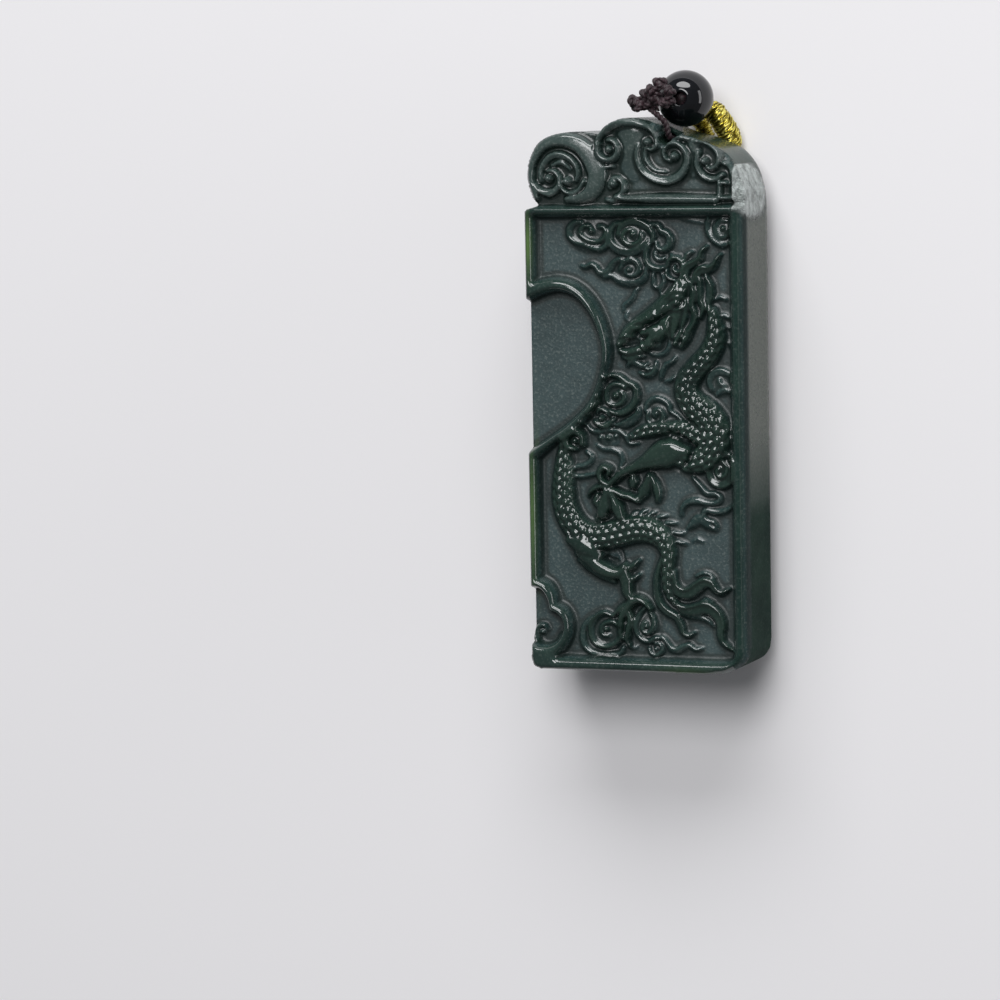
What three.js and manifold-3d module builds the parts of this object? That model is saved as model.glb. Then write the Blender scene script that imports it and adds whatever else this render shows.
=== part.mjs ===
// A carved jade plaque pendant lying on its back, with its knotted loop, bead and neck cord.
// Millimetres. +X is to the right across the carved face, +Y towards the cord end, +Z out of the face.
import * as THREE from "three";
import { mergeVertices } from "three/addons/utils/BufferGeometryUtils.js";
import Module from "manifold-3d";

const wasm = await Module();
wasm.setup();

// Driving dimensions. Places on the face are measured from the lower left corner of the framed panel,
// and heights from the plaque's flat back.
const THICKNESS = 12.9; // back to the crest of the frame
const LEFT = -0.4; // the plaque's left side
const RIGHT = 31.0; // the plaque's right side
const FOOT = -1.1; // the flat lower end
const CROWN = 75.35; // top of the ruyi lobe
const PANEL_DEPTH = 2.2; // frame crest down to the panel's ground
const BAY_DEPTH = 2.6; // frame crest down to the smooth disc
const HEAD_DEPTH = 1.6; // scroll crests down to the head's ground
const EDGE_ROUND = 0.7; // rounding of the plaque's long edges
const FLARE = 0.6; // how far a wall of the frame leans out from its foot to its crest
const ROOT = 0.4; // how deep a carved form reaches into the ground it grows from
const HOLE_RADIUS = 0.75; // cord hole through the head
const HOLE = [19.6, 72.4];
const BOSS_HEIGHT = 1.45; // the bead at the heart of each curl
const STEP_HEIGHT = 7.6; // ledge behind the head's front layer, where the cord hole opens
const BEAD_RADIUS = 3.9;
const BEAD_BORE = 0.9;
const THREAD = 0.9; // thickness of the knotted thread
const CORD = 1.5; // thickness of the neck cord
const WRAP = 2.5; // thickness of the cord where gold thread is wound on it
const GAP = 0.3; // clearance kept between touching pieces
const FLOOR = -4.2; // the surface that the pendant and its cord lie on
const HANK_RADIUS = 9.0;
const HANK_RUN = 26.0; // straight stretch of the folded cord
const HANK_CENTRE = [15.5, 38.0];
const TIE_THICK = 0.45;
const TIE_WIDTH = 1.6;

const PANEL_GROUND = THICKNESS - PANEL_DEPTH;
const HEAD_GROUND = THICKNESS - HEAD_DEPTH;
const BAY_GROUND = THICKNESS - BAY_DEPTH;

// Materials
const jade = new THREE.MeshStandardMaterial({ color: 0x2b3d37, roughness: 0.35, metalness: 0 });
const onyx = new THREE.MeshStandardMaterial({ color: 0x08090b, roughness: 0.06, metalness: 0 });
const brownThread = new THREE.MeshStandardMaterial({ color: 0x2e1b22, roughness: 0.7, metalness: 0 });
const goldThread = new THREE.MeshStandardMaterial({ color: 0xb8991f, roughness: 0.4, metalness: 0.6 });

// Helpers that turn shapes into solids
function solidOf(geometry) {
  geometry.deleteAttribute("normal");
  geometry.deleteAttribute("uv");
  const merged = mergeVertices(geometry, 1e-4);
  return new wasm.Manifold(
    new wasm.Mesh({
      numProp: 3,
      vertProperties: merged.attributes.position.array,
      triVerts: new Uint32Array(merged.index.array),
    }),
  );
}

function geometryOf(solid) {
  const { numProp, vertProperties, triVerts } = solid.getMesh();
  const positions = new Float32Array((vertProperties.length / numProp) * 3);
  for (let i = 0; i < positions.length / 3; i++)
    positions.set(vertProperties.subarray(i * numProp, i * numProp + 3), i * 3);
  return new THREE.BufferGeometry()
    .setAttribute("position", new THREE.BufferAttribute(positions, 3))
    .setIndex(new THREE.BufferAttribute(triVerts, 1));
}

const points2 = (list) => list.map(([x, y]) => new THREE.Vector2(x, y));
const points3 = (list) => list.map(([x, y, z]) => new THREE.Vector3(x, y, z));

// A smooth open or closed outline through a few points, as a polyline with count stretches.
function smooth(list, count, closed = false) {
  const curve = new THREE.CatmullRomCurve3(
    list.map(([x, y, z = 0]) => new THREE.Vector3(x, y, z)), closed, "centripetal",
  );
  return curve.getSpacedPoints(count).map((p) => [p.x, p.y, p.z]);
}

// A value from a short list of sizes, read at share t of the way along a form.
function sizeAt(sizes, t) {
  if (typeof sizes === "number") return sizes;
  const place = t * (sizes.length - 1);
  const i = Math.min(Math.floor(place), sizes.length - 2);
  return sizes[i] + (sizes[i + 1] - sizes[i]) * (place - i);
}

// A spiral line round a centre: radius from r0 to r1, starting at an angle in degrees.
function curl(x, y, r0, r1, degrees, turns, steps = 8) {
  const line = [];
  for (let i = 0; i <= steps; i++) {
    const t = i / steps;
    const a = THREE.MathUtils.degToRad(degrees + 360 * turns * t);
    const r = r0 + (r1 - r0) * t;
    line.push([x + r * Math.cos(a), y + r * Math.sin(a)]);
  }
  return line;
}

// A carved ridge with a rounded back along a line on the face.
const RIDGE_STEP = 2.0; // length of one stretch of a ridge
const RIDGE_BACK = [[-1, 0], [-0.72, 0.66], [0, 1], [0.72, 0.66], [1, 0]];
function ridge(line, halfWidth, height, ground) {
  const curve = new THREE.CatmullRomCurve3(
    line.map(([x, y]) => new THREE.Vector3(x, y, 0)), false, "centripetal",
  );
  const count = Math.max(1, Math.round(curve.getLength() / RIDGE_STEP));
  const stations = line.length === 2 ? 1 : Math.max(count, 3);
  const spots = curve.getSpacedPoints(stations);
  const sides = RIDGE_BACK.length;
  const positions = [];
  spots.forEach((p, i) => {
    const before = spots[Math.max(i - 1, 0)];
    const after = spots[Math.min(i + 1, stations)];
    const along = after.clone().sub(before).normalize();
    const t = i / stations;
    const w = sizeAt(halfWidth, t);
    const h = sizeAt(height, t);
    for (const [across, up] of RIDGE_BACK)
      positions.push(
        p.x - along.y * w * across,
        p.y + along.x * w * across,
        up === 0 ? ground - ROOT : ground + h * up,
      );
  });
  const index = [];
  for (let i = 0; i < stations; i++)
    for (let k = 0; k < sides; k++) {
      const a = i * sides + k;
      const b = i * sides + ((k + 1) % sides);
      index.push(a, a + sides, b, b, a + sides, b + sides);
    }
  const last = stations * sides;
  for (let k = 1; k < sides - 1; k++) {
    index.push(0, k, k + 1);
    index.push(last, last + k + 1, last + k);
  }
  const geometry = new THREE.BufferGeometry()
    .setAttribute("position", new THREE.Float32BufferAttribute(positions, 3))
    .setIndex(index);
  return solidOf(geometry);
}

// A small round boss, half sunk in its ground.
function boss(x, y, radius, height, ground) {
  const ball = new THREE.SphereGeometry(radius, 8, 6);
  ball.rotateX(Math.PI / 2);
  ball.scale(1, 1, height / radius);
  ball.translate(x, y, ground);
  return solidOf(ball);
}

// A tool that cuts down to a ground height, with walls that lean outwards by lean.
const CUT_PAST = 4; // how far a tool reaches above the crest
function cutter(outline, ground, lean) {
  const shape = new THREE.Shape(points2(outline));
  const geometry = new THREE.ExtrudeGeometry(shape, {
    depth: CUT_PAST, bevelEnabled: true, bevelSegments: 1,
    bevelSize: lean, bevelThickness: THICKNESS - ground,
  });
  geometry.translate(0, 0, THICKNESS);
  return solidOf(geometry);
}

// A round cord along a route, closed at both ends.
function tube(route, diameter, sides, steps) {
  const section = new THREE.Shape();
  section.absarc(0, 0, diameter / 2, 0, Math.PI * 2, false);
  const path = new THREE.CatmullRomCurve3(points3(route), false, "centripetal");
  return solidOf(new THREE.ExtrudeGeometry(section, {
    steps, extrudePath: path, curveSegments: sides / 2, bevelEnabled: false,
  }));
}

// The plaque's outline, seen square to the face
function plaqueBody() {
  const head = smooth([
    [1.35, 63.5], [0.5, 64.9], [0.0, 66.8], [0.1, 68.8], [0.6, 70.4], [1.7, 72.1],
    [3.6, 73.1], [6.4, 73.55], [8.6, 73.35], [10.4, 73.05],
  ], 18);
  const lobe = smooth([
    [10.4, 73.05], [12.0, 74.6], [14.4, CROWN], [16.8, 75.1], [18.0, 74.6], [19.6, 73.8],
    [21.2, 73.2], [24.2, 72.4], [27.6, 70.9], [29.7, 68.9], [30.8, 66.4], [RIGHT, 64.2],
  ], 22);
  const heel = smooth([[RIGHT, 2.4], [30.2, 0.1], [28.0, FOOT]], 5);
  const toe = smooth([[0.8, FOOT], [-0.1, -0.6], [LEFT, 0.6]], 3);
  const outline = [...heel, ...toe, [LEFT, 62.7], ...head, ...lobe.slice(1)];
  const shape = new THREE.Shape(points2(outline));
  const geometry = new THREE.ExtrudeGeometry(shape, {
    depth: THICKNESS - 2 * EDGE_ROUND, bevelEnabled: true, bevelSegments: 2,
    bevelSize: EDGE_ROUND, bevelThickness: EDGE_ROUND, bevelOffset: -EDGE_ROUND,
  });
  geometry.translate(0, 0, EDGE_ROUND);
  return solidOf(geometry);
}

// The sunk panel runs round the disc's bay and the corner scroll's bay.
function panelCutter() {
  const aroundDisc = smooth([
    [1.0, 53.2], [4.0, 53.65], [8.7, 51.3], [11.4, 45.9], [11.4, 40.7], [9.7, 35.3], [6.0, 31.4],
      [1.0, 28.2],
  ], 16);
  const aroundScroll = smooth([[0.95, 11.7], [2.5, 10.5], [3.2, 8.2]], 4);
  const aroundCurl = smooth([[3.2, 8.2], [4.8, 7.5], [5.5, 5.2], [5.1, 2.8], [3.9, 0.7]], 6);
  const corner = smooth([[28.0, 0.7], [28.7, 1.0], [28.9, 1.8]], 2);
  return cutter(
    [[0.9, 61.7], ...aroundDisc, ...aroundScroll, ...aroundCurl.slice(1), ...corner, [28.9, 61.7]],
    PANEL_GROUND, FLARE,
  );
}

function discCutter() {
  const edge = smooth([
    [-3, 50.0], [0.9, 51.0], [4.0, 51.7], [7.5, 49.6], [9.7, 45.2], [9.7, 41.5], [8.2, 36.9], [4.9, 33.3],
    [1.9, 31.3], [-3, 28.4],
  ], 22);
  return cutter(edge, BAY_GROUND, FLARE + 0.15);
}

function scrollCutter() {
  const upper = smooth([[-3, 10.2], [0.4, 10.1], [1.5, 9.0], [2.1, 6.9]], 5);
  const lower = smooth([[2.1, 6.9], [3.4, 6.3], [3.9, 4.8], [3.2, 3.0], [1.6, 2.4], [-3, 2.6]], 8);
  return cutter([...upper, ...lower.slice(1)], BAY_GROUND, FLARE - 0.1);
}

function headCutter() {
  return cutter([[-4, 63.5], [36, 63.5], [36, 82], [-4, 82]], HEAD_GROUND, FLARE);
}

// Behind the front layer of scrolls the head steps down to the ledge that the hole opens on.
function stepCutter() {
  const edge = [
    [24.5, 79], [24.0, 73.0], [22.4, 73.0], [20.9, 72.4], [20.0, 71.4], [19.0, 71.5], [18.7, 72.4],
    [18.6, 74.2], [17.8, 79],
  ];
  return cutter(edge, STEP_HEIGHT, 0.2);
}

function holeCutter() {
  const pin = new THREE.CylinderGeometry(HOLE_RADIUS, HOLE_RADIUS, THICKNESS * 3, 12);
  pin.rotateX(Math.PI / 2);
  pin.translate(...HOLE, 0);
  return solidOf(pin);
}

// The rounded shoulder to the right of the scrolls.
function shoulderCutter() {
  const block = new THREE.BoxGeometry(12, 16, 6);
  block.rotateY(THREE.MathUtils.degToRad(48));
  block.translate(34.2, 70.4, 14.2);
  return solidOf(block);
}

// Carved forms: a line on the face, half widths along it and a height above the ground.
const HEAD_SCROLLS = [
  [[[1.7, 64.9], [1.0, 67.2], [1.5, 70.0], [3.3, 72.1], [6.2, 72.5], [8.9, 71.4], [10.1, 68.9],
    [9.6, 66.3], [8.3, 64.9]],
    [0.8, 0.9, 1.0, 1.0, 1.1, 1.3, 1.4, 1.3, 0.8], 1.6],
  [[[1.8, 67.9], [2.4, 69.9], [4.4, 70.8], [6.5, 70.2], [7.7, 68.4], [7.4, 66.4], [6.2, 65.6], [5.3, 66.3]],
    [0.3, 0.45, 0.5, 0.5, 0.5, 0.5, 0.4, 0.3], 1.3],
  [[[2.0, 64.9], [3.4, 64.9], [4.1, 65.8], [3.9, 66.9], [3.1, 67.5]], [0.6, 0.6, 0.5, 0.4, 0.4], 1.5],
  [[[10.5, 71.2], [10.8, 72.9], [12.4, 74.1], [14.8, 74.6], [17.0, 74.1], [18.3, 72.9], [18.6, 71.7],
    [17.9, 71.2]],
    [0.6, 0.6, 0.6, 0.65, 0.6, 0.5, 0.45, 0.3], 1.6],
  [curl(11.8, 71.1, 1.6, 1.1, 180, 0.62), 0.5, 1.5],
  [[[16.1, 71.3], [16.4, 69.2], [17.8, 67.4], [19.9, 66.8], [21.9, 67.4], [23.0, 69.2], [22.6, 71.1],
    [21.3, 71.9],
    [20.1, 71.2], [19.8, 69.9], [20.6, 69.0]],
    [0.3, 0.45, 0.55, 0.6, 0.65, 0.65, 0.6, 0.5, 0.4, 0.35, 0.3], 1.6],
  [[[22.6, 72.1], [24.3, 71.9], [26.1, 71.3], [27.3, 70.1], [27.2, 68.8], [26.3, 68.3]],
    [0.3, 0.4, 0.45, 0.45, 0.4, 0.3], 1.6],
  [[[24.8, 70.3], [24.9, 68.6], [25.9, 67.4], [27.2, 67.4], [28.1, 68.3]], [0.4, 0.5, 0.5, 0.5, 0.4], 1.4],
  [[[28.2, 68.8], [29.1, 68.4], [29.5, 67.3], [29.6, 64.5]], 0.35, 1.4],
  [[[29.6, 64.3], [27.5, 64.3]], 0.35, 1.4],
  [[[27.7, 64.2], [27.7, 66.2]], 0.35, 1.4],
  [[[27.6, 66.1], [28.8, 66.1]], 0.35, 1.4],
  [[[12.6, 64.75], [27.0, 64.65]], 0.65, 1.5],
  [curl(12.7, 66.0, 1.1, 0.8, 260, 0.7, 6), 0.4, 1.4],
];
const HEAD_BOSSES = [
  [2.9, 67.5, 0.6], [5.6, 67.0, 0.6], [11.8, 71.2, 0.65], [17.4, 72.1, 0.5], [21.3, 70.1, 0.6],
    [25.7, 69.3, 0.55],
  [12.5, 66.2, 0.5],
];

const CLOUDS = [
  [[[6.9, 60.9], [5.9, 60.2], [5.9, 59.0], [7.2, 58.2], [8.8, 57.7], [10.4, 57.6], [11.2, 58.7],
    [11.1, 60.0]], 0.42, 1.0],
  [curl(8.9, 59.8, 1.6, 0.4, 160, 1.4, 12), [0.35, 0.4, 0.3], 1.2],
  [[[13.2, 61.0], [12.0, 60.3], [11.7, 58.8], [12.5, 57.4], [14.2, 56.9], [16.0, 57.3],
    [17.3, 58.5]], 0.5, 1.2],
  [[[13.4, 60.0], [14.6, 60.9], [16.2, 60.8], [17.5, 59.9], [17.6, 58.7]], 0.45, 1.3],
  [curl(14.8, 59.3, 1.6, 0.4, 190, 1.2, 10), [0.4, 0.45, 0.35], 1.2],
  [[[17.7, 60.8], [18.7, 60.2], [19.8, 59.7], [20.1, 58.6], [19.5, 57.6], [18.6, 57.5]],
    [0.3, 0.45, 0.5, 0.5, 0.35], 1.1],
  [[[17.3, 57.8], [16.9, 56.7], [17.0, 55.6], [17.9, 54.9], [19.2, 55.0]], 0.4, 1.2],
  [[[7.4, 55.0], [8.8, 55.2], [9.7, 54.4], [10.6, 54.0], [11.5, 54.5], [12.1, 55.4], [13.2, 56.0],
    [14.6, 56.0]],
    [0.15, 0.3, 0.35, 0.4, 0.4, 0.4, 0.4, 0.35], 1.0],
  [curl(14.4, 54.7, 1.3, 0.35, 80, -1.1), [0.4, 0.4, 0.3], 1.1],
  [[[11.9, 53.5], [13.2, 53.0], [14.9, 52.9], [16.2, 53.5], [16.4, 54.9]], 0.45, 0.9],
  [[[25.9, 61.2], [25.8, 60.1], [26.6, 59.1], [27.4, 58.3], [28.5, 58.1]], [0.3, 0.5, 0.6, 0.6, 0.4], 0.9],
  [curl(28.1, 60.0, 1.0, 0.35, 60, 1.1), 0.35, 1.0],
  [[[10.9, 39.5], [12.2, 39.9], [13.5, 39.1], [14.7, 38.2], [14.8, 37.0], [14.0, 35.8], [12.8, 35.0],
    [11.7, 35.1]],
    [0.3, 0.45, 0.5, 0.5, 0.5, 0.5, 0.45, 0.3], 1.4],
  [curl(12.3, 37.1, 1.4, 0.5, 200, -1.0), 0.4, 1.2],
  [curl(18.2, 34.7, 1.5, 0.35, 50, 1.4, 11), [0.25, 0.4, 0.35], 1.2],
  [[[12.5, 33.2], [14.0, 33.2], [15.3, 33.9], [15.7, 34.8]], [0.3, 0.6, 0.6, 0.3], 1.1],
  [[[8.8, 33.5], [10.1, 33.2], [11.5, 33.8]], [0.4, 0.7, 0.4], 1.6],
  [curl(6.3, 30.9, 1.3, 0.5, 60, 1.0), [0.5, 0.55, 0.4], 1.5],
  [[[9.7, 31.4], [11.2, 31.3], [12.7, 31.4]], [0.4, 0.8, 0.3], 1.0],
  [[[7.9, 29.4], [8.6, 28.4], [7.4, 27.2], [5.9, 27.0], [5.9, 25.9], [8.0, 25.9], [9.6, 26.0]], 0.3, 0.8],
  [curl(27.4, 27.5, 1.7, 0.4, 50, -1.25, 11), [0.3, 0.45, 0.4], 1.1],
  [[[25.6, 26.6], [26.2, 25.2], [27.6, 24.7], [29.0, 25.0]], 0.4, 0.8],
  [[[23.3, 25.9], [24.2, 24.7], [25.3, 24.0], [26.8, 23.9], [26.8, 22.7], [25.2, 22.8], [23.4, 22.9],
    [21.9, 22.1], [21.5, 20.9]],
    [0.2, 0.3, 0.4, 0.4, 0.4, 0.35, 0.3, 0.3, 0.25], 0.8],
  [[[28.8, 22.0], [27.4, 21.4], [26.1, 21.2], [25.0, 21.0]], [0.2, 0.4, 0.4, 0.3], 0.8],
  [[[22.4, 19.6], [24.4, 18.9], [26.0, 19.3]], [0.4, 0.8, 0.3], 0.7],
  [[[26.2, 39.9], [27.3, 40.5], [28.5, 40.1], [28.8, 38.9], [28.0, 38.0]], 0.4, 0.9],
  [curl(10.3, 3.9, 2.3, 0.5, 60, 1.5, 14), [0.5, 0.55, 0.5, 0.35], 1.3],
  [[[7.6, 6.3], [6.8, 4.8], [6.9, 2.8], [8.0, 1.4], [10.2, 1.1], [12.3, 1.3]], 0.4, 0.8],
  [curl(16.3, 5.0, 1.7, 0.4, 90, -1.25, 10), [0.3, 0.5, 0.35], 1.3],
  [curl(17.4, 2.3, 0.7, 0.5, 150, 0.9, 6), 0.25, 0.8],
  [[[17.7, 3.2], [18.5, 3.3], [19.4, 2.3], [20.5, 2.1], [21.7, 2.6], [22.8, 2.3], [24.0, 2.4]],
    [0.25, 0.4, 0.45, 0.45, 0.45, 0.35, 0.15], 1.0],
];

const DRAGON = [
  // trunk from behind the mane down to the haunch
  [[[26.1, 48.2], [26.6, 46.0], [26.1, 43.8], [24.6, 41.8], [22.9, 39.8], [22.3, 37.8], [23.4, 35.9],
    [25.2, 34.2],
    [26.3, 32.2], [26.1, 30.1], [24.6, 28.4], [22.4, 27.7]],
    [0.8, 1.35, 1.5, 1.5, 1.5, 1.5, 1.5, 1.6, 1.7, 1.7, 1.6, 1.2], 2.1],
  // scaled shoulder behind the thigh
  [[[24.6, 31.4], [21.6, 32.0], [18.6, 32.4], [15.9, 31.8]], [1.2, 1.2, 1.1, 0.9], 1.5],
  // polished thigh and shin
  [[[20.6, 30.1], [18.6, 29.4], [16.4, 28.2], [14.2, 26.8], [12.3, 25.6], [10.9, 24.9]],
    [1.3, 1.6, 1.3, 0.8, 0.55, 0.45], 2.2],
  // lower trunk, up from the left and over to the tail
  [[[4.2, 29.0], [4.1, 26.9], [3.9, 24.6], [3.9, 22.3], [4.6, 20.0], [6.3, 18.0], [8.9, 17.2], [11.6, 17.5],
    [14.2, 18.3], [16.5, 18.7], [18.5, 17.9], [19.5, 15.9], [19.4, 13.5], [19.1, 11.0], [19.6, 9.1],
      [20.8, 7.8]],
    [0.7, 1.0, 1.2, 1.35, 1.5, 1.6, 1.6, 1.5, 1.5, 1.5, 1.5, 1.4, 1.1, 0.8, 0.7, 0.4], 2.1],
  // polished belly and hind leg
  [[[6.9, 16.2], [8.5, 14.8], [10.3, 13.6], [12.0, 12.7], [13.2, 12.2]], [1.1, 1.3, 1.2, 0.9, 0.6], 2.2],
  [[[13.0, 13.2], [13.4, 11.4], [13.6, 9.7], [14.6, 8.7]], [0.8, 0.8, 0.8, 0.6], 1.9],
  [[[15.6, 8.7], [14.0, 8.2], [13.0, 6.6], [12.9, 4.6], [13.1, 2.4]], [0.6, 0.7, 0.7, 0.7, 0.5], 1.8],
  // claws of the fore foot
  [[[10.9, 25.0], [10.3, 26.0], [10.5, 27.0], [11.3, 27.3]], 0.35, 1.7],
  [[[10.8, 24.8], [9.6, 24.7], [8.5, 24.0]], [0.35, 0.35, 0.2], 1.5],
  [[[10.7, 24.8], [10.2, 23.4], [9.6, 21.8]], [0.45, 0.5, 0.3], 1.8],
  [[[11.0, 24.8], [11.4, 23.2], [12.2, 21.6]], [0.45, 0.5, 0.35], 1.8],
  [[[11.2, 24.7], [12.4, 23.5], [14.2, 23.2]], [0.4, 0.45, 0.25], 1.6],
  // hair below the thigh
  [[[16.5, 26.3], [16.4, 24.8], [15.7, 23.6]], [0.4, 0.6, 0.4], 1.2],
  [[[17.7, 26.0], [18.5, 24.8], [18.2, 23.4]], [0.3, 0.6, 0.4], 1.2],
  // tail tufts
  [[[17.9, 14.0], [17.6, 12.0], [17.6, 9.9], [18.4, 8.1], [19.8, 7.0], [21.0, 5.8], [21.6, 4.5],
    [22.9, 4.3]],
    [0.3, 0.4, 0.45, 0.5, 0.5, 0.45, 0.4, 0.15], 1.4],
  [[[20.3, 12.4], [20.6, 10.8], [21.8, 9.9], [23.1, 10.2], [24.4, 11.2], [25.7, 11.1], [26.4, 10.3],
    [28.0, 10.3]],
    [0.3, 0.6, 0.8, 0.8, 0.7, 0.55, 0.4, 0.12], 1.6],
  [[[20.9, 8.7], [22.3, 8.0], [24.0, 8.2], [25.7, 7.6], [26.8, 6.1], [27.1, 4.4], [27.6, 3.0], [28.8, 2.3]],
    [0.4, 0.6, 0.75, 0.75, 0.65, 0.55, 0.4, 0.12], 1.5],
];

// The head, snout at the lower left, horns and mane sweeping to the upper right
const DRAGON_HEAD = [
  [[[13.1, 44.2], [14.7, 46.0], [16.5, 47.4], [18.4, 48.7], [20.2, 50.3], [21.4, 52.4]],
    [0.8, 1.2, 1.1, 1.2, 1.4, 1.2], 2.2],
  [[[13.6, 43.0], [15.2, 43.3], [16.8, 43.8], [18.2, 44.6], [19.0, 46.4]], [0.6, 0.8, 1.0, 1.3, 1.0], 1.7],
  [[[13.4, 42.2], [14.8, 41.9], [16.2, 42.2]], [0.3, 0.5, 0.4], 1.1],
  [[[15.9, 40.3], [17.2, 40.0], [18.0, 40.7], [18.1, 41.8]], [0.25, 0.4, 0.35, 0.2], 1.1],
  [[[18.9, 40.2], [19.5, 41.4], [20.5, 42.2]], [0.3, 0.35, 0.15], 0.9],
  [[[20.7, 50.0], [21.8, 49.6], [23.0, 50.3]], [0.4, 0.7, 0.5], 2.0],
  [[[22.5, 53.0], [22.9, 54.5], [24.0, 55.5], [24.9, 56.5], [25.4, 57.7]],
    [0.7, 0.7, 0.55, 0.4, 0.12], 1.7],
  [[[24.1, 53.2], [25.0, 54.3], [26.3, 54.9], [27.1, 56.0], [27.6, 56.7]],
    [0.6, 0.6, 0.5, 0.35, 0.12], 1.7],
  [[[24.6, 53.6], [25.5, 52.0], [25.6, 50.2], [25.2, 48.2]], [0.7, 0.8, 0.75, 0.4], 1.8],
  [[[23.4, 52.8], [24.0, 50.8], [23.9, 48.8], [23.2, 47.0], [22.2, 45.3]], [0.6, 0.7, 0.7, 0.6, 0.4], 1.8],
  [[[21.8, 49.4], [21.9, 48.0], [21.4, 46.4], [21.2, 44.6]], [0.6, 0.6, 0.55, 0.4], 1.5],
  [curl(20.8, 54.9, 1.1, 0.4, 240, -1.1), 0.35, 1.5],
  [[[13.7, 47.5], [13.6, 48.8], [14.4, 50.0], [15.1, 51.1], [15.4, 52.0]],
    [0.15, 0.25, 0.3, 0.3, 0.12], 0.7],
];

const forms = [];
for (const [line, width, height] of HEAD_SCROLLS) forms.push(ridge(line, width, height, HEAD_GROUND));
for (const [x, y, r] of HEAD_BOSSES) forms.push(boss(x, y, r, BOSS_HEIGHT, HEAD_GROUND));
for (const [line, width, height] of [...CLOUDS, ...DRAGON, ...DRAGON_HEAD])
  forms.push(ridge(line, width, height, PANEL_GROUND));
forms.push(boss(0.5, 4.7, 0.85, BOSS_HEIGHT, BAY_GROUND));

let plaque = plaqueBody();
for (const tool of [panelCutter(), discCutter(), scrollCutter(), headCutter()])
  plaque = plaque.subtract(tool);
plaque = wasm.Manifold.union([plaque, ...forms]).intersect(plaqueBody());
for (const tool of [stepCutter(), shoulderCutter(), holeCutter()]) plaque = plaque.subtract(tool);

// The glossy bead, drilled from end to end
const BEAD_CENTRE = new THREE.Vector3(20.86, 77.85, 5.1);
const BEAD_AXIS = new THREE.Vector3(0.09, 0.01, 1).normalize();
function bead() {
  const rings = 12;
  const profile = [];
  const start = Math.asin(BEAD_BORE / BEAD_RADIUS);
  for (let i = 0; i <= rings; i++) {
    const a = start + ((Math.PI - 2 * start) * i) / rings;
    profile.push(new THREE.Vector2(BEAD_RADIUS * Math.sin(a), -BEAD_RADIUS * Math.cos(a)));
  }
  profile.push(profile[0].clone());
  const ball = new THREE.LatheGeometry(profile, 20);
  const turn = new THREE.Quaternion().setFromUnitVectors(new THREE.Vector3(0, 1, 0), BEAD_AXIS);
  ball.applyQuaternion(turn);
  ball.translate(BEAD_CENTRE.x, BEAD_CENTRE.y, BEAD_CENTRE.z);
  return solidOf(ball);
}

// The thread goes through the cord hole, round the crown and into a cluster of knots at the bead.
const LOOP_ROUTE = [
  [16.9, 76.6, 8.9], [18.2, 75.7, 9.5], [19.3, 74.5, 9.3], [19.6, 72.8, 8.8], [19.6, 72.4, 7.0],
  [19.6, 72.4, 4.0], [19.6, 72.4, 0.6], [19.4, 72.7, -0.8], [18.4, 74.6, -1.1], [16.4, 76.1, -0.7],
  [14.6, 76.7, 1.2], [14.0, 76.7, 4.0], [14.1, 76.9, 6.6], [14.6, 77.4, 8.0],
];
const KNOTS = [
  [18.6, 79.9, 9.5, 1.1], [16.75, 78.6, 9.0, 1.2], [14.7, 77.4, 8.3, 1.2], [16.9, 77.35, 9.0, 1.15],
  [18.1, 78.0, 9.9, 1.0], [20.3, 78.8, 10.5, 0.95], [19.5, 77.3, 10.3, 0.85],
];
function hangingLoop() {
  const lumps = KNOTS.map(([x, y, z, r]) => {
    const lump = new THREE.OctahedronGeometry(r, 1);
    lump.translate(x, y, z);
    return solidOf(lump);
  });
  const tail = tube([[18.1, 78.0, 9.9], [19.5, 77.3, 10.3], [20.9, 77.6, 10.05]], THREAD, 6, 4);
  const strand = tube([[18.6, 79.9, 9.5], [20.3, 78.8, 10.5], [19.5, 77.3, 10.3]], THREAD, 6, 4);
  return wasm.Manifold.union([tube(LOOP_ROUTE, THREAD, 6, 28), tail, strand, ...lumps]);
}

// Two strands leave the bead side by side, each bound with gold thread where it joins the neck cord.
const LIFT = 0.05; // keeps a bent tube from dipping into the surface
const WRAP_FLOOR = FLOOR + WRAP / 2 + LIFT;
const CORD_FLOOR = FLOOR + CORD / 2 + LIFT;
const WRAP_ROUTES = {
  gold_wrap_right: [
    [22.8, 76.5, -0.1], [23.9, 75.4, 0.1], [24.8, 73.3, -1.4], [25.1, 71.2, -2.6], [24.9, 68.5, WRAP_FLOOR],
    [24.2, 65.6, WRAP_FLOOR],
  ],
  gold_wrap_left: [
    [20.3, 76.0, -1.8], [20.5, 74.6, -2.7], [21.3, 72.8, WRAP_FLOOR], [22.0, 70.5, WRAP_FLOOR],
    [21.7, 68.0, WRAP_FLOOR], [21.0, 65.6, WRAP_FLOOR],
  ],
};
const STEM_ROUTES = {
  gold_wrap_right: [[21.15, 77.5, 0.5], [21.9, 77.2, -0.1], [22.9, 76.4, -0.1]],
  gold_wrap_left: [[19.9, 77.5, 0.5], [19.9, 77.0, -0.6], [20.3, 75.9, -1.8]],
};
function goldWrap(name) {
  return tube(WRAP_ROUTES[name], WRAP, 10, 12).add(tube(STEM_ROUTES[name], THREAD, 6, 4));
}

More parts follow.
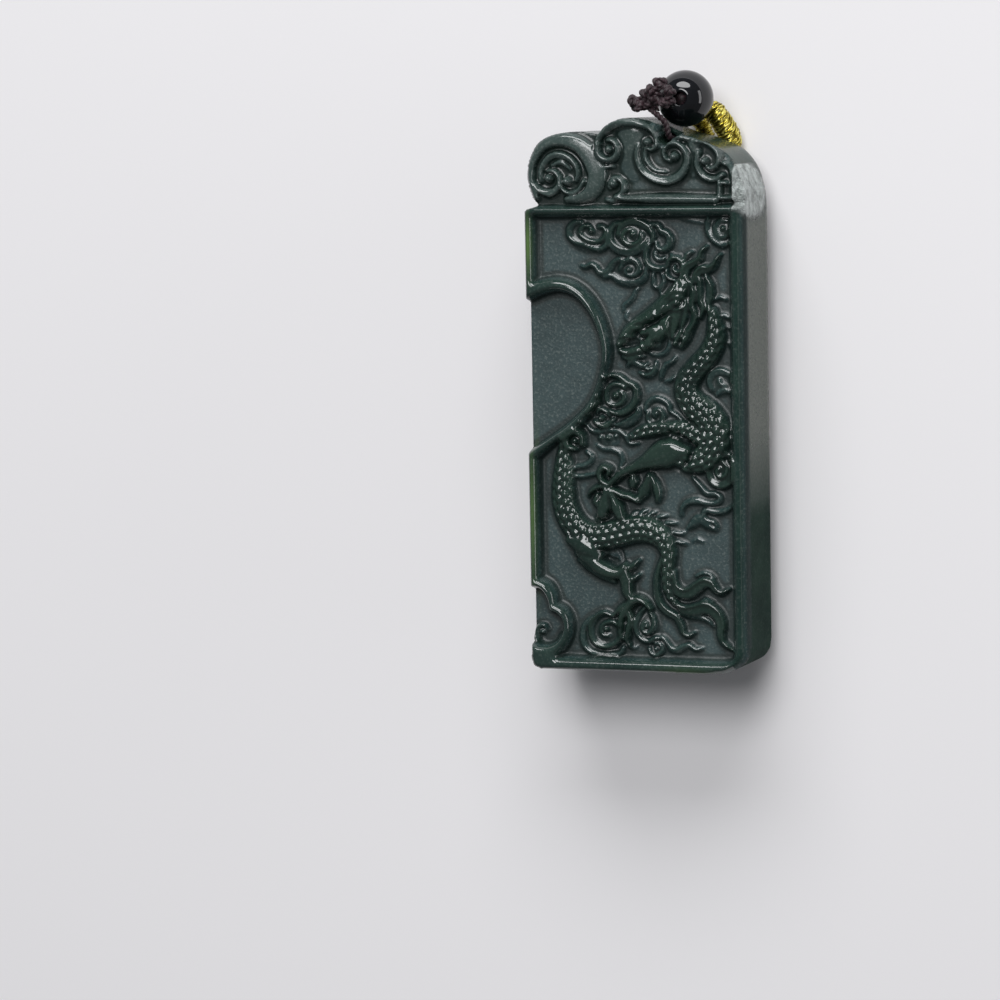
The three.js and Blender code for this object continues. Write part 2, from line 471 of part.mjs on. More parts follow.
// The neck cord runs from the wraps to its folded hank under the plaque.
const CORD_ROUTES = {
  neck_cord_right: [
    [24.1, 65.2, CORD_FLOOR + 0.45], [23.9, 63.0, CORD_FLOOR], [23.8, 60.4, CORD_FLOOR],
      [23.75, 57.3, CORD_FLOOR],
  ],
  neck_cord_left: [
    [20.95, 65.2, CORD_FLOOR + 0.45], [20.4, 63.4, CORD_FLOOR], [18.6, 62.2, CORD_FLOOR],
    [16.0, 61.9, CORD_FLOOR], [13.0, 61.9, CORD_FLOOR], [10.0, 61.5, CORD_FLOOR], [7.9, 59.6, CORD_FLOOR],
    [7.3, 57.4, CORD_FLOOR + 0.3],
  ],
};

function stadium(radius) {
  const [x, y] = HANK_CENTRE;
  const outline = new THREE.Path();
  outline.absarc(x, y + HANK_RUN / 2, radius, 0, Math.PI, false);
  outline.absarc(x, y - HANK_RUN / 2, radius, Math.PI, Math.PI * 2, false);
  return outline.getPoints(7).slice(0, -1);
}

const HANK_TOP = -GAP;
const HANK_INNER = 4.3;
function cordHank() {
  const shape = new THREE.Shape(stadium(HANK_RADIUS));
  shape.holes.push(new THREE.Path(stadium(HANK_INNER)));
  const ring = new THREE.ExtrudeGeometry(shape, { depth: HANK_TOP - FLOOR, bevelEnabled: false });
  ring.translate(0, 0, FLOOR);
  const slotDepth = TIE_THICK + GAP;
  const slots = [FLOOR, HANK_TOP].map((z) => {
    const slot = new THREE.BoxGeometry(3 * HANK_RADIUS, TIE_WIDTH + 2 * GAP, 2 * slotDepth);
    slot.translate(...HANK_CENTRE, z);
    return solidOf(slot);
  });
  return slots.reduce((hank, slot) => hank.subtract(slot), solidOf(ring));
}

// A flat binding round the middle of the hank
function hankTie() {
  const [x, y] = HANK_CENTRE;
  const half = HANK_RADIUS + GAP;
  const middle = (FLOOR + HANK_TOP) / 2;
  const band = (grow) => {
    const height = HANK_TOP - FLOOR - 2 * TIE_THICK + 2 * grow;
    const block = new THREE.BoxGeometry(2 * (half + grow), TIE_WIDTH * (grow > 0 ? 1 : 2), height);
    block.translate(x, y, middle);
    return solidOf(block);
  };
  return band(TIE_THICK).subtract(band(0));
}

const pendant = new THREE.Group();
// The origin of the part is the middle of the plaque.
pendant.position.set(-(LEFT + RIGHT) / 2, -(FOOT + CROWN) / 2, -THICKNESS / 2);
function add(name, solid, material) {
  const mesh = new THREE.Mesh(geometryOf(solid), material);
  mesh.name = name;
  pendant.add(mesh);
}
add("jade_plaque", plaque, jade);
add("onyx_bead", bead(), onyx);
add("knotted_loop", hangingLoop(), brownThread);
for (const name of Object.keys(WRAP_ROUTES)) add(name, goldWrap(name), goldThread);
for (const [name, route] of Object.entries(CORD_ROUTES)) add(name, tube(route, CORD, 8, 10), brownThread);
add("cord_hank", cordHank(), brownThread);
add("hank_tie", hankTie(), brownThread);

export default pendant;
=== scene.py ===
# %% [markdown]
# # A carved jade pendant
# The pendant is a thick plaque of dark green nephrite. A sunk panel on its face holds a dragon
# among clouds, and its head is a ruyi scroll with a hole for the cord. Brown thread goes through
# the hole and is knotted to a black bead, and two gold-wound strands lead to the neck cord.
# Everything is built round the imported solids, which say where each piece is and how large.

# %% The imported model
import math

import bmesh
import bpy
import numpy as np
from mathutils import Matrix, Vector


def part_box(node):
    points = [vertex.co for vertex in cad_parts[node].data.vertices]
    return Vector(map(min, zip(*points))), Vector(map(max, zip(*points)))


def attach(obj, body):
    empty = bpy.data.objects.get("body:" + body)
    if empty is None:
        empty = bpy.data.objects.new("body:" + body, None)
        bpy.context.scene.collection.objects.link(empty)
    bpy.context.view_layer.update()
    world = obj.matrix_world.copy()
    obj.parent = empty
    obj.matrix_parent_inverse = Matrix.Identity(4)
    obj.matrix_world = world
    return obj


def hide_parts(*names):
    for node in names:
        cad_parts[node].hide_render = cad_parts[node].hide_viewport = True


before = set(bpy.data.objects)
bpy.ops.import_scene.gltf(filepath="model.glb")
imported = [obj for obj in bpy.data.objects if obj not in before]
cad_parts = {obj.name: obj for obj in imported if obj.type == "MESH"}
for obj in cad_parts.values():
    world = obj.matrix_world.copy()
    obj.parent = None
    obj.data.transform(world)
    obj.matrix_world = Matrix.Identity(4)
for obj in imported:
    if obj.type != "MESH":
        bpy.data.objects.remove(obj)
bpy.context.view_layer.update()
print("pieces", sorted(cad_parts))

# %% [markdown]
# ## Places on the face
# A carver measures from the frame, so places on the face are in millimetres from the lower left
# corner of the framed panel, and heights are from the flat back. The plaque's own box says where
# that corner is, and one small function turns such a place into metres.

# %% Driving dimensions and the way to a place
MM = 0.001
THICKNESS = 12.9  # back to the crest of the frame
LEFT, RIGHT = -0.4, 31.0  # the plaque's sides
FOOT, CROWN = -1.1, 75.35  # its flat lower end and the top of its lobe
PANEL_DEPTH = 2.2
BAY_DEPTH = 2.6
HEAD_DEPTH = 1.6
low_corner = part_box("jade_plaque")[0]
ORIGIN = low_corner - Vector((LEFT, FOOT, 0)) * MM
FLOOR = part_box("cord_hank")[0].z / MM - ORIGIN.z / MM


def at(u, v, z):
    """A place on or over the face, in metres in the part's frame."""
    return ORIGIN + Vector((u, v, z)) * MM


print("floor at", round(FLOOR, 2), "mm from the back")

# %% [markdown]
# ## Camera
# The camera stands where the picture was taken from: half a metre away, turned a little to the
# right of the face and a little above it, with a long lens so that the sides hardly converge.

# %% The camera
LENS = 144.0  # on a 36 mm sensor
camera_data = bpy.data.cameras.new("camera")
camera_data.lens = LENS
camera_data.sensor_width = 36.0
camera = bpy.data.objects.new("camera", camera_data)
bpy.context.scene.collection.objects.link(camera)
looking = Vector((-0.34819, -0.10189, -0.93187)).normalized()
upwards = Vector((-0.01886, 0.99464, -0.10171))
sideways = looking.cross(upwards).normalized()
upwards = sideways.cross(looking)
camera.matrix_world = Matrix.Translation(at(189.87, 79.42, 533.26)) @ Matrix(
    (sideways, upwards, -looking)).transposed().to_4x4()
camera_data.clip_start = 0.01
bpy.context.scene.camera = camera


# %% [markdown]
# ## Small helpers
# A mesh piece is made in a bmesh, given a name and smooth faces, and rides on the one body. A
# material is a set of nodes, so two helpers keep the making of nodes and links short.

# %% Pieces and material nodes
def piece(name, bm, material, smooth=True, replaces=()):
    mesh = bpy.data.meshes.new(name)
    bm.to_mesh(mesh)
    bm.free()
    for polygon in mesh.polygons:
        polygon.use_smooth = smooth
    mesh.materials.append(material)
    made = bpy.data.objects.new(name, mesh)
    bpy.context.scene.collection.objects.link(made)
    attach(made, "root")
    if replaces:
        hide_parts(*replaces)
    return made


class Finish:
    """A material with its shader, and short ways to add nodes and link them."""

    def __init__(self, name, **values):
        self.material = bpy.data.materials.new(name)
        self.material.use_nodes = True
        self.tree = self.material.node_tree
        self.shader = self.tree.nodes["Principled BSDF"]
        for socket, value in values.items():
            self.shader.inputs[socket.replace("_", " ")].default_value = value

    def node(self, kind, inputs=(), **settings):
        made = self.tree.nodes.new(kind)
        for key, value in settings.items():
            setattr(made, key, value)
        for key, value in dict(inputs).items():
            if isinstance(value, bpy.types.NodeSocket):
                self.tree.links.new(value, made.inputs[key])
            else:
                made.inputs[key].default_value = value
        return made

    def place(self, scale=(1, 1, 1), source="Object"):
        coordinates = self.node("ShaderNodeTexCoord")
        mapping = self.node("ShaderNodeMapping", {"Vector": coordinates.outputs[source], "Scale": scale})
        return mapping.outputs[0]

    def noise(self, vector, scale, detail=2.0, roughness=0.5):
        return self.node("ShaderNodeTexNoise", {"Vector": vector, "Scale": scale, "Detail": detail,
                                                "Roughness": roughness}).outputs["Fac"]

    def ramp(self, value, *stops):
        made = self.node("ShaderNodeValToRGB", {"Fac": value})
        elements = made.color_ramp.elements
        while len(elements) < len(stops):
            elements.new(0.5)
        for element, (position, colour) in zip(elements, stops):
            element.position = position
            element.color = (*colour, 1) if isinstance(colour, tuple) else (colour, colour, colour, 1)
        return made.outputs["Color"]

    def mix(self, share, a, b, blend="MIX"):
        made = self.node("ShaderNodeMix", {0: share}, data_type="RGBA", blend_type=blend)
        for index, value in ((6, a), (7, b)):
            if isinstance(value, bpy.types.NodeSocket):
                self.tree.links.new(value, made.inputs[index])
            else:
                made.inputs[index].default_value = (*value, 1)
        return made.outputs[2]

    def maths(self, operation, a, b=0.0, c=0.0):
        return self.node("ShaderNodeMath", {0: a, 1: b, 2: c}, operation=operation).outputs[0]

    def attribute(self, name):
        return self.node("ShaderNodeAttribute", attribute_name=name).outputs["Fac"]

    def bump(self, height, distance, strength=1.0, over=None):
        inputs = {"Height": height, "Distance": distance, "Strength": strength}
        if over is not None:
            inputs["Normal"] = over
        return self.node("ShaderNodeBump", inputs).outputs[0]

    def set(self, **sockets):
        for name, value in sockets.items():
            self.tree.links.new(value, self.shader.inputs[name.replace("_", " ")])
        return self.material


# %% [markdown]
# ## Lines through a few points
# The carving, the threads and the cord all follow lines that a hand would draw with a few points.
# A Catmull-Rom line goes through each of them smoothly, so a shape is changed by moving a point.

# %% Smooth lines, and sizes that change along them
def catmull(points, closed=False, fine=14):
    """A smooth line through the points, as an array of places."""
    p = np.array(points, float)
    p = np.vstack([p[-1], p, p[0], p[1]]) if closed else np.vstack([2 * p[0] - p[1], p, 2 * p[-1] - p[-2]])
    t = np.arange(fine)[:, None] / fine
    spans = [
        0.5 * (2 * b + (c - a) * t + (2 * a - 5 * b + 4 * c - d) * t**2 + (3 * b - a - 3 * c + d) * t**3)
        for a, b, c, d in zip(p, p[1:], p[2:], p[3:])
    ]
    return np.vstack(spans + [p[-2:-1]])


def sizes(values, t):
    """A width or a height that changes along a line."""
    values = np.atleast_1d(values).astype(float)
    return np.interp(t, np.linspace(0, 1, len(values)), values)


# %% [markdown]
# ## Tubes, plies and windings
# Thread, cord and wound gold are all tubes that follow a line. A curve with a round bevel would
# do for a smooth one, but it has no map of its own for a braid. So a circle is made once and its
# edge is extruded from point to point, turned to the line each time, and the map is written as it
# goes: once round is one unit across, and one circumference along the line is one unit along.

# %% A tube that follows a line
def smooth_line(points, step):
    """Places about one step apart on a smooth line through the points."""
    fine = catmull(points, fine=24)
    run = np.concatenate([[0], np.cumsum(np.linalg.norm(np.diff(fine, axis=0), axis=1))])
    count = max(2, int(round(run[-1] / step)) + 1)
    return np.stack([np.interp(np.linspace(0, run[-1], count), run, fine[:, k]) for k in range(3)], 1)


def frames(line):
    """Two directions across the line at each point, carried along it without twisting."""
    ahead = np.gradient(line, axis=0)
    ahead /= np.linalg.norm(ahead, axis=1)[:, None]
    across = np.zeros_like(line)
    start = np.array([0.0, 0.0, 1.0]) if abs(ahead[0, 2]) < 0.9 else np.array([1.0, 0.0, 0.0])
    for k, direction in enumerate(ahead):
        flat = (start if k == 0 else across[k - 1])
        flat = flat - direction * (flat @ direction)
        across[k] = flat / np.linalg.norm(flat)
    return across, np.cross(ahead, across)


def tube(bm, line, radius, sides=10, capped=True):
    """Extrudes a circle along a line of places on the face, given in mm, and maps it."""
    across, up = frames(line)
    radii = sizes(radius, np.linspace(0, 1, len(line)))
    mapped = bm.loops.layers.uv.verify()
    ring = bmesh.ops.create_circle(bm, cap_ends=False, radius=1.0, segments=sides)["verts"]
    angles = [math.atan2(v.co.y, v.co.x) for v in ring]
    order = sorted(range(sides), key=lambda k: angles[k])
    ring = [ring[k] for k in order]
    turns = np.array([angles[k] for k in order])
    edges = [bm.edges.get((ring[k], ring[(k + 1) % sides])) for k in range(sides)]
    along = 0.0
    rings = []
    for k, (place, a, b, r) in enumerate(zip(line, across, up, radii)):
        if k:
            made = bmesh.ops.extrude_edge_only(bm, edges=edges)["geom"]
            above = {v: e.other_vert(v) for v in ring for e in v.link_edges if e.other_vert(v) not in ring
                     and e.other_vert(v) in made}
            ring = [above[v] for v in ring]
            edges = [bm.edges.get((ring[j], ring[(j + 1) % sides])) for j in range(sides)]
            along += float(np.linalg.norm(line[k] - line[k - 1]))
        for v, turn in zip(ring, turns):
            v.co = at(*(place + r * (math.cos(turn) * a + math.sin(turn) * b)))
        rings.append((ring, along))
    for (low, s0), (high, s1) in zip(rings, rings[1:]):
        for j in range(sides):
            pair = {low[j]: (j, s0), high[j]: (j, s1), low[(j + 1) % sides]: (j + 1, s0),
                    high[(j + 1) % sides]: (j + 1, s1)}
            edge = bm.edges.get((low[j], high[j]))
            wall = next(f for f in edge.link_faces if all(v in pair for v in f.verts))
            for loop in wall.loops:
                n, s = pair[loop.vert]
                loop[mapped].uv = (n / sides, s / (2 * math.pi * float(np.mean(radii))))
    if capped:
        for ring, _ in (rings[0], rings[-1]):
            bmesh.ops.contextual_create(bm, geom=[bm.edges.get((ring[j], ring[(j + 1) % sides]))
                                                  for j in range(sides)])
    return bm


def helix(line, radius, pitch, phase=0.0, per_turn=12):
    """A winding round a line: radius from it and pitch along it, in mm."""
    run = np.concatenate([[0], np.cumsum(np.linalg.norm(np.diff(line, axis=0), axis=1))])
    across, up = frames(line)
    s = np.linspace(0, run[-1], max(3, int(run[-1] / abs(pitch) * per_turn)))
    centre, a, b = (np.stack([np.interp(s, run, part[:, k]) for k in range(3)], 1) for part
                    in (line, across, up))
    turn = (2 * math.pi * s / pitch + phase)[:, None]
    return centre + radius * (np.cos(turn) * a + np.sin(turn) * b)


def closed_faces(bm):
    """Faces of a closed mesh, turned outwards."""
    bmesh.ops.recalc_face_normals(bm, faces=bm.faces[:])
    return bm


# %% [markdown]
# ## The neck cord
# The cord is one length of thin braid, about 0.6 m, from one gold binding round to the other. The
# picture shows none of it, so it is put away as such a pendant is packed: wound into a flat hank
# of two layers under the stone and tied round the middle. Each turn goes down the right side and
# up the left, and shifts one place over near the top of the left side, all turns at once, so that
# they lie side by side and never through each other.

# %% The way of the cord
CORD = 1.5  # diameters, mm
THREAD = 0.9
WRAP = 2.5
LIFT = 0.05  # keeps a bent tube from dipping into the surface
CORD_FLOOR = FLOOR + CORD / 2 + LIFT
WRAP_FLOOR = FLOOR + WRAP / 2 + LIFT
HANK_CENTRE = (15.5, 38.0)
HANK_RUN = 26.0  # straight part of each turn
OUTER_TURN = 8.25  # radii of the folds, from the middle of the hank to the middle of the cord
TURN_STEP = 1.6
TIE_THICK = 0.45
TIE_WIDTH = 1.6
RIGHT_ROUTE = [(24.1, 65.2, CORD_FLOOR + 0.45), (23.9, 63.0, CORD_FLOOR), (23.8, 60.4, CORD_FLOOR),
               (23.75, 57.3, CORD_FLOOR)]
LEFT_ROUTE = [(20.95, 65.2, CORD_FLOOR + 0.45), (20.4, 63.4, CORD_FLOOR), (18.6, 62.2, CORD_FLOOR),
              (16.0, 61.9, CORD_FLOOR), (13.0, 61.9, CORD_FLOOR), (10.0, 61.5, CORD_FLOOR),
              (7.9, 59.6, CORD_FLOOR), (7.3, 57.4, CORD_FLOOR)]
# each place in the hank: radius and layer
PLACES = [(OUTER_TURN, 0), (OUTER_TURN - TURN_STEP, 0), (OUTER_TURN - 2 * TURN_STEP, 0),
          (OUTER_TURN - 2 * TURN_STEP, 1), (OUTER_TURN - TURN_STEP, 1), (OUTER_TURN, 1), (OUTER_TURN, 0)]
SHIFT = (0.56, 0.96)  # share of the left run over which the turns shift


def layer_height(layer, v):
    """Height of a turn's middle, lifted where it crosses the tie."""
    lift = (TIE_THICK - LIFT) * math.exp(-(((v - HANK_CENTRE[1]) / 3.0) ** 2))
    return CORD_FLOOR + layer * CORD + lift


def hank_turns():
    x, y = HANK_CENTRE
    half = HANK_RUN / 2
    way = []
    for k, ((radius, layer), (next_radius, next_layer)) in enumerate(zip(PLACES, PLACES[1:])):
        for t in np.linspace(0, 1, 14)[:-1]:
            v = y + half - HANK_RUN * t
            way.append((x + radius, v, layer_height(layer, v)))
        for a in np.linspace(0, math.pi, 13)[:-1]:
            way.append((x + radius * math.cos(a), y - half - radius * math.sin(a),
                        layer_height(layer, y - half)))
        for t in np.linspace(0, 1, 27)[:-1]:
            v = y - half + HANK_RUN * t
            s = min(max((t - SHIFT[0]) / (SHIFT[1] - SHIFT[0]), 0), 1)
            s = s * s * (3 - 2 * s)
            bulge = {2: -0.55, 5: 0.55}.get(k, 0) * math.sin(math.pi * s)
            r = radius + (next_radius - radius) * s + bulge
            way.append((x - r, v, layer_height(layer + (next_layer - layer) * s, v)))
        if k < len(PLACES) - 2:
            for a in np.linspace(math.pi, 0, 13)[:-1]:
                way.append((x + next_radius * math.cos(a), y + half + next_radius * math.sin(a),
                            layer_height(next_layer, y + half)))
    return way


cord_line = smooth_line(RIGHT_ROUTE + hank_turns() + LEFT_ROUTE[::-1], 0.55)


# %% [markdown]
# ## Floor and light
# The picture was taken under soft boxes on a pale ground. A long one beyond the head of the
# pendant draws the thin bright lines on every lip that faces it, one low at the right lights the
# shoulder and the side, and a small one overhead puts a bright dot on every bead and scale.
# Lights and floor are made here, with the camera, so that each new piece is seen in them at once.

# %% The floor
def stage_floor():
    bm = bmesh.new()
    bmesh.ops.create_grid(bm, x_segments=1, y_segments=1, size=1.5)
    bmesh.ops.translate(bm, verts=bm.verts[:], vec=(0, 0, at(0, 0, FLOOR).z))
    mesh = bpy.data.meshes.new("floor")
    bm.to_mesh(mesh)
    bm.free()
    floor = bpy.data.objects.new("floor", mesh)
    bpy.context.scene.collection.objects.link(floor)
    finish = Finish("pale_floor", Base_Color=(0.80, 0.79, 0.80, 1), Roughness=0.75, Specular_IOR_Level=0.2)
    mesh.materials.append(finish.material)


stage_floor()


# %% The lights
def soft_box(name, towards, distance, width, height, power, shape="ELLIPSE"):
    """An area light that faces the middle of the stone."""
    data = bpy.data.lights.new(name, "AREA")
    data.shape = shape
    data.size = width
    data.size_y = height
    data.energy = power
    data.color = (0.99, 0.99, 1.0)
    light = bpy.data.objects.new(name, data)
    bpy.context.scene.collection.objects.link(light)
    way = Vector(towards).normalized()
    light.matrix_world = Matrix.Translation(at(15.5, 38, 8) + way * distance) @ way.to_track_quat(
        "Z", "Y").to_matrix().to_4x4()
    return light


soft_box("far_box", (0.05, 0.86, 0.50), 1.20, 1.10, 0.55, 11.5)
soft_box("right_box", (1.0, 0.12, 0.16), 1.00, 0.80, 0.20, 1.6, "RECTANGLE")
soft_box("near_box", (0.08, 0.40, 0.91), 1.20, 0.60, 0.60, 8.0)
world = bpy.data.worlds.new("studio")
world.use_nodes = True
world.node_tree.nodes["Background"].inputs["Color"].default_value = (0.86, 0.88, 0.92, 1)
world.node_tree.nodes["Background"].inputs["Strength"].default_value = 0.16
bpy.context.scene.world = world
bpy.context.scene.view_settings.view_transform = "Standard"


# %% [markdown]
# ## A field for the carving
# The face of the stone is cut from the front, and nothing on it is undercut, so one height over
# every point of the face says all there is to say. Modelling each curl as a mesh of its own would
# leave seams where the stone has none. Instead the carver's work is repeated on a fine grid: the
# sunk areas are taken out first, then each form is a line with a width, a height and a section.

# %% The grid of points over the face
PITCH = 0.17  # between neighbouring points, mm
MARGIN = 0.2  # of the grid past the stone, mm
columns = int((RIGHT - LEFT + 2 * MARGIN) / PITCH) + 1
rows = int((CROWN - FOOT + 2 * MARGIN) / PITCH) + 1
grid_u = LEFT - MARGIN + PITCH * np.arange(columns)
grid_v = FOOT - MARGIN + PITCH * np.arange(rows)
U, V = np.meshgrid(grid_u, grid_v)
print("grid", columns, "by", rows)


# %% Measuring the grid against lines
def curl(x, y, r0, r1, degrees, turns, count=22):
    """A spiral round x, y, from radius r0 to r1, starting at an angle."""
    t = np.linspace(0, 1, count)
    a = np.radians(degrees + 360 * turns * t)
    r = r0 + (r1 - r0) * t
    return np.stack([x + r * np.cos(a), y + r * np.sin(a)], 1)


def window(line, reach):
    """The part of the grid within reach of a line."""
    low, high = line.min(0) - reach, line.max(0) + reach
    i = np.searchsorted(grid_v, [low[1], high[1]])
    j = np.searchsorted(grid_u, [low[0], high[0]])
    return slice(*i), slice(*j)


def beside(line, where):
    """For each grid point: distance to the line, which side (+ left), share and length along it."""
    u, v = U[where], V[where]
    a, b = line[:-1], line[1:]
    ab = b - a
    size = np.hypot(*ab.T)
    run = np.concatenate([[0], np.cumsum(size)])
    best = np.full(u.shape, 1e9)
    side = np.ones(u.shape)
    length = np.zeros(u.shape)
    for k in range(len(a)):
        if size[k] < 1e-9:
            continue
        du, dv = u - a[k, 0], v - a[k, 1]
        t = np.clip((du * ab[k, 0] + dv * ab[k, 1]) / size[k] ** 2, 0, 1)
        d = np.hypot(du - t * ab[k, 0], dv - t * ab[k, 1])
        nearer = d < best
        best = np.where(nearer, d, best)
        cross = ab[k, 0] * dv - ab[k, 1] * du
        side = np.where(nearer, np.where(cross >= 0, 1.0, -1.0), side)
        length = np.where(nearer, run[k] + t * size[k], length)
    return best, side, length / max(run[-1], 1e-9), length


def inside(outline):
    """True where a grid point is within a closed outline."""
    found = np.zeros(U.shape, bool)
    for (x0, y0), (x1, y1) in zip(outline, np.roll(outline, -1, 0)):
        if y0 == y1:
            continue
        crossing = ((V >= y0) != (V >= y1)) & (U < x0 + (V - y0) * (x1 - x0) / (y1 - y0))
        found ^= crossing
    return found


def depth_in(outline):
    """Distance to an outline, positive outside it and negative inside."""
    closed = np.vstack([outline, outline[:1]])
    d = beside(closed, (slice(None), slice(None)))[0]
    return np.where(inside(outline), -d, d)


def quarter(x):
    """The section of a roll: steep at its foot, level at its crest."""
    x = np.clip(x, 0, 1)
    return np.sqrt(1 - (1 - x) ** 2)


# %% [markdown]
# ## The frame and the grounds
# The frame round the panel is a polished roll. It isn't laid on the stone: it is what stays when
# the ground is sunk on both sides of it. So each sunk area is an outline at the foot of its wall
# and a depth, and the stone's height is the lowest of them all.

# %% Sunk areas, each with a wall that rises as a roll
panel = np.vstack([
    [[0.95, 61.75], [0.95, 53.25]],
    catmull([[0.95, 53.25], [4.0, 53.65], [6.8, 52.9], [9.3, 50.7], [11.0, 47.3], [11.75, 43.6], [11.3, 40.3],
             [10.4, 37.6], [8.9, 34.9], [6.4, 32.0], [3.3, 30.2], [0.95, 28.3]]),
    catmull([[0.95, 11.75], [2.3, 11.0], [3.2, 9.6], [3.4, 8.3]]),
    catmull([[3.4, 8.3], [4.7, 7.5], [5.5, 5.9], [5.5, 4.0], [4.8, 2.2], [3.6, 0.75]]),
    catmull([[27.6, 0.75], [28.6, 1.0], [28.9, 2.0]]),
    [[28.9, 61.75]],
])
disc = catmull([[-2, 49.9], [0.3, 50.4], [1.8, 51.0], [4.0, 51.45], [6.2, 50.8], [7.9, 49.2], [9.2, 47.0],
                [10.0, 44.7], [10.2, 43.0], [9.95, 41.0], [9.2, 38.4], [8.2, 36.4], [6.9, 34.9], [4.9, 33.2],
                [2.2, 31.3], [0.2, 30.0], [-2, 28.4]])
bay = np.vstack([
    catmull([[-2, 10.1], [0.3, 10.0], [1.2, 9.4], [1.8, 8.2], [2.0, 6.9]]),
    catmull([[2.0, 6.9], [3.2, 6.4], [3.9, 5.5], [3.95, 4.4], [3.3, 3.1], [2.2, 2.4], [0.9, 2.3], [-2, 2.9]]),
])
head = np.array([[-4, 63.45], [40, 63.45], [40, 90], [-4, 90]], float)
SUNK = [(panel, PANEL_DEPTH, 1.2), (disc, BAY_DEPTH, 1.05), (bay, BAY_DEPTH, 0.9), (head, HEAD_DEPTH, 0.8)]

face = np.full(U.shape, THICKNESS)
walls = np.full(U.shape, 9.0)  # how far each point is from the nearest wall's foot
for outline, depth, roll in SUNK:
    away = depth_in(outline)
    face = np.minimum(face, THICKNESS - depth + depth * quarter(away / roll))
    walls = np.minimum(walls, np.where(away < 0, -away, 0))
ground = face.copy()


# %% [markdown]
# ## Carved forms
# Three cuts make every form here. A raised band is a ribbon that stands on its ground, plain or
# with one edge drawn up to the thin lip that shines on a carved cloud. A swell is added to
# whatever is below it, and a groove is taken away.

# %% Raise, swell and groove
SHOULDER = 0.3  # rounding of a band's edges, mm
LIP = 0.26  # how wide a band's thin bright lip is, mm
MOAT = 0.38  # ring cut round a bead, mm


def raise_band(points, width, height, lip=0, body=0.6, base=None, shoulder=SHOULDER, lean=0.0):
    """A ribbon with round edges. With lip 1 its left edge stands up, with lip -1 its right edge."""
    line = catmull(points) if len(points) > 2 else np.array(points, float)
    where = window(line, np.max(width))
    d, side, t, _ = beside(line, where)
    w = sizes(width, t)
    room = w - d
    section = quarter(np.clip(room / np.minimum(shoulder, w), 0, 1))
    if lip:
        from_lip = np.maximum(w - lip * side * d - 0.15, 0)
        section *= body + (1 - body) * np.exp(-((from_lip / LIP) ** 2))
        section *= 1 - lean * np.clip(from_lip / (2 * w), 0, 1)
    else:
        section *= 1 - 0.3 * (d / w) ** 2
    low = ground[where] if base is None else base
    grown = low + sizes(height, t) * section
    face[where] = np.maximum(face[where], np.where(room < 0, -9, grown))


def swell(points, width, height, power=1.0):
    """A soft swelling along a line, on top of what is there."""
    line = catmull(points) if len(points) > 2 else np.array(points, float)
    where = window(line, np.max(width))
    d, _, t, _ = beside(line, where)
    x = np.clip(d / sizes(width, t), 0, 1)
    face[where] += sizes(height, t) * (1 - x**2) ** (1.5 * power)


def groove(points, width, depth):
    swell(points, width, -np.atleast_1d(depth))


def bead(u, v, radius, height, base=None):
    """A small domed bead standing in a ring that is cut down round it."""
    line = np.array([[u, v], [u + 0.01, v]])
    where = window(line, radius + MOAT)
    d = beside(line, where)[0]
    x = np.clip(d / radius, 0, 1)
    low = ground[where] if base is None else base
    cut = np.clip((radius + MOAT - d) / MOAT, 0, 1)
    face[where] = np.minimum(face[where], low + height * (1 - 0.75 * cut))
    face[where] = np.maximum(face[where], np.where(x < 1, low + height * np.sqrt(1 - x**2), -9))


# %% [markdown]
# ## The scrolled head
# Above the frame the stone is a ruyi head. The big curl on the left is a broad, flattened crescent
# that rolls in on itself and ends in two beads. The lobe in the middle curls in at both ends.

# %% The head's scrolls
HEAD_GROUND = THICKNESS - HEAD_DEPTH


def scroll(points, width, height, lip=0, body=0.62, lean=0.0, shoulder=SHOULDER):
    raise_band(points, width, height, lip, body, HEAD_GROUND, shoulder, lean)


# the big crescent: a broad body that slopes away from its inner lip, and a ribbon inside it
scroll([[1.2, 64.6], [0.5, 66.9], [0.7, 69.3], [2.2, 71.6], [4.7, 72.5], [7.4, 71.9], [9.3, 70.0],
        [10.2, 67.6], [9.3, 65.3], [7.6, 64.35], [5.8, 64.2]],
       [0.5, 0.5, 0.62, 0.78, 0.95, 1.15, 1.35, 1.5, 1.35, 0.95, 0.6], 1.5, -1, 0.86, 0.3, 0.75)
scroll([[8.2, 66.8], [7.4, 65.6], [6.2, 65.15], [5.2, 65.6], [4.85, 66.4]], [0.3, 0.36, 0.36, 0.32, 0.2],
       1.45, 1)
scroll([[1.9, 66.8], [2.0, 68.5], [3.3, 70.1], [5.1, 70.3], [6.7, 69.3], [7.3, 67.9], [7.0, 66.8]],
       [0.3, 0.42, 0.5, 0.5, 0.48, 0.4, 0.25], 1.15, 1, 0.7)
scroll([[3.4, 68.9], [4.9, 69.4], [6.2, 68.4]], [0.2, 0.5, 0.2], 0.75)
scroll([[1.2, 66.4], [1.9, 65.5], [3.4, 65.2], [4.5, 66.1], [4.5, 67.4], [3.7, 68.2], [2.8, 68.2]],
       [0.35, 0.5, 0.6, 0.5, 0.42, 0.36, 0.2], 1.3, -1, 0.75)

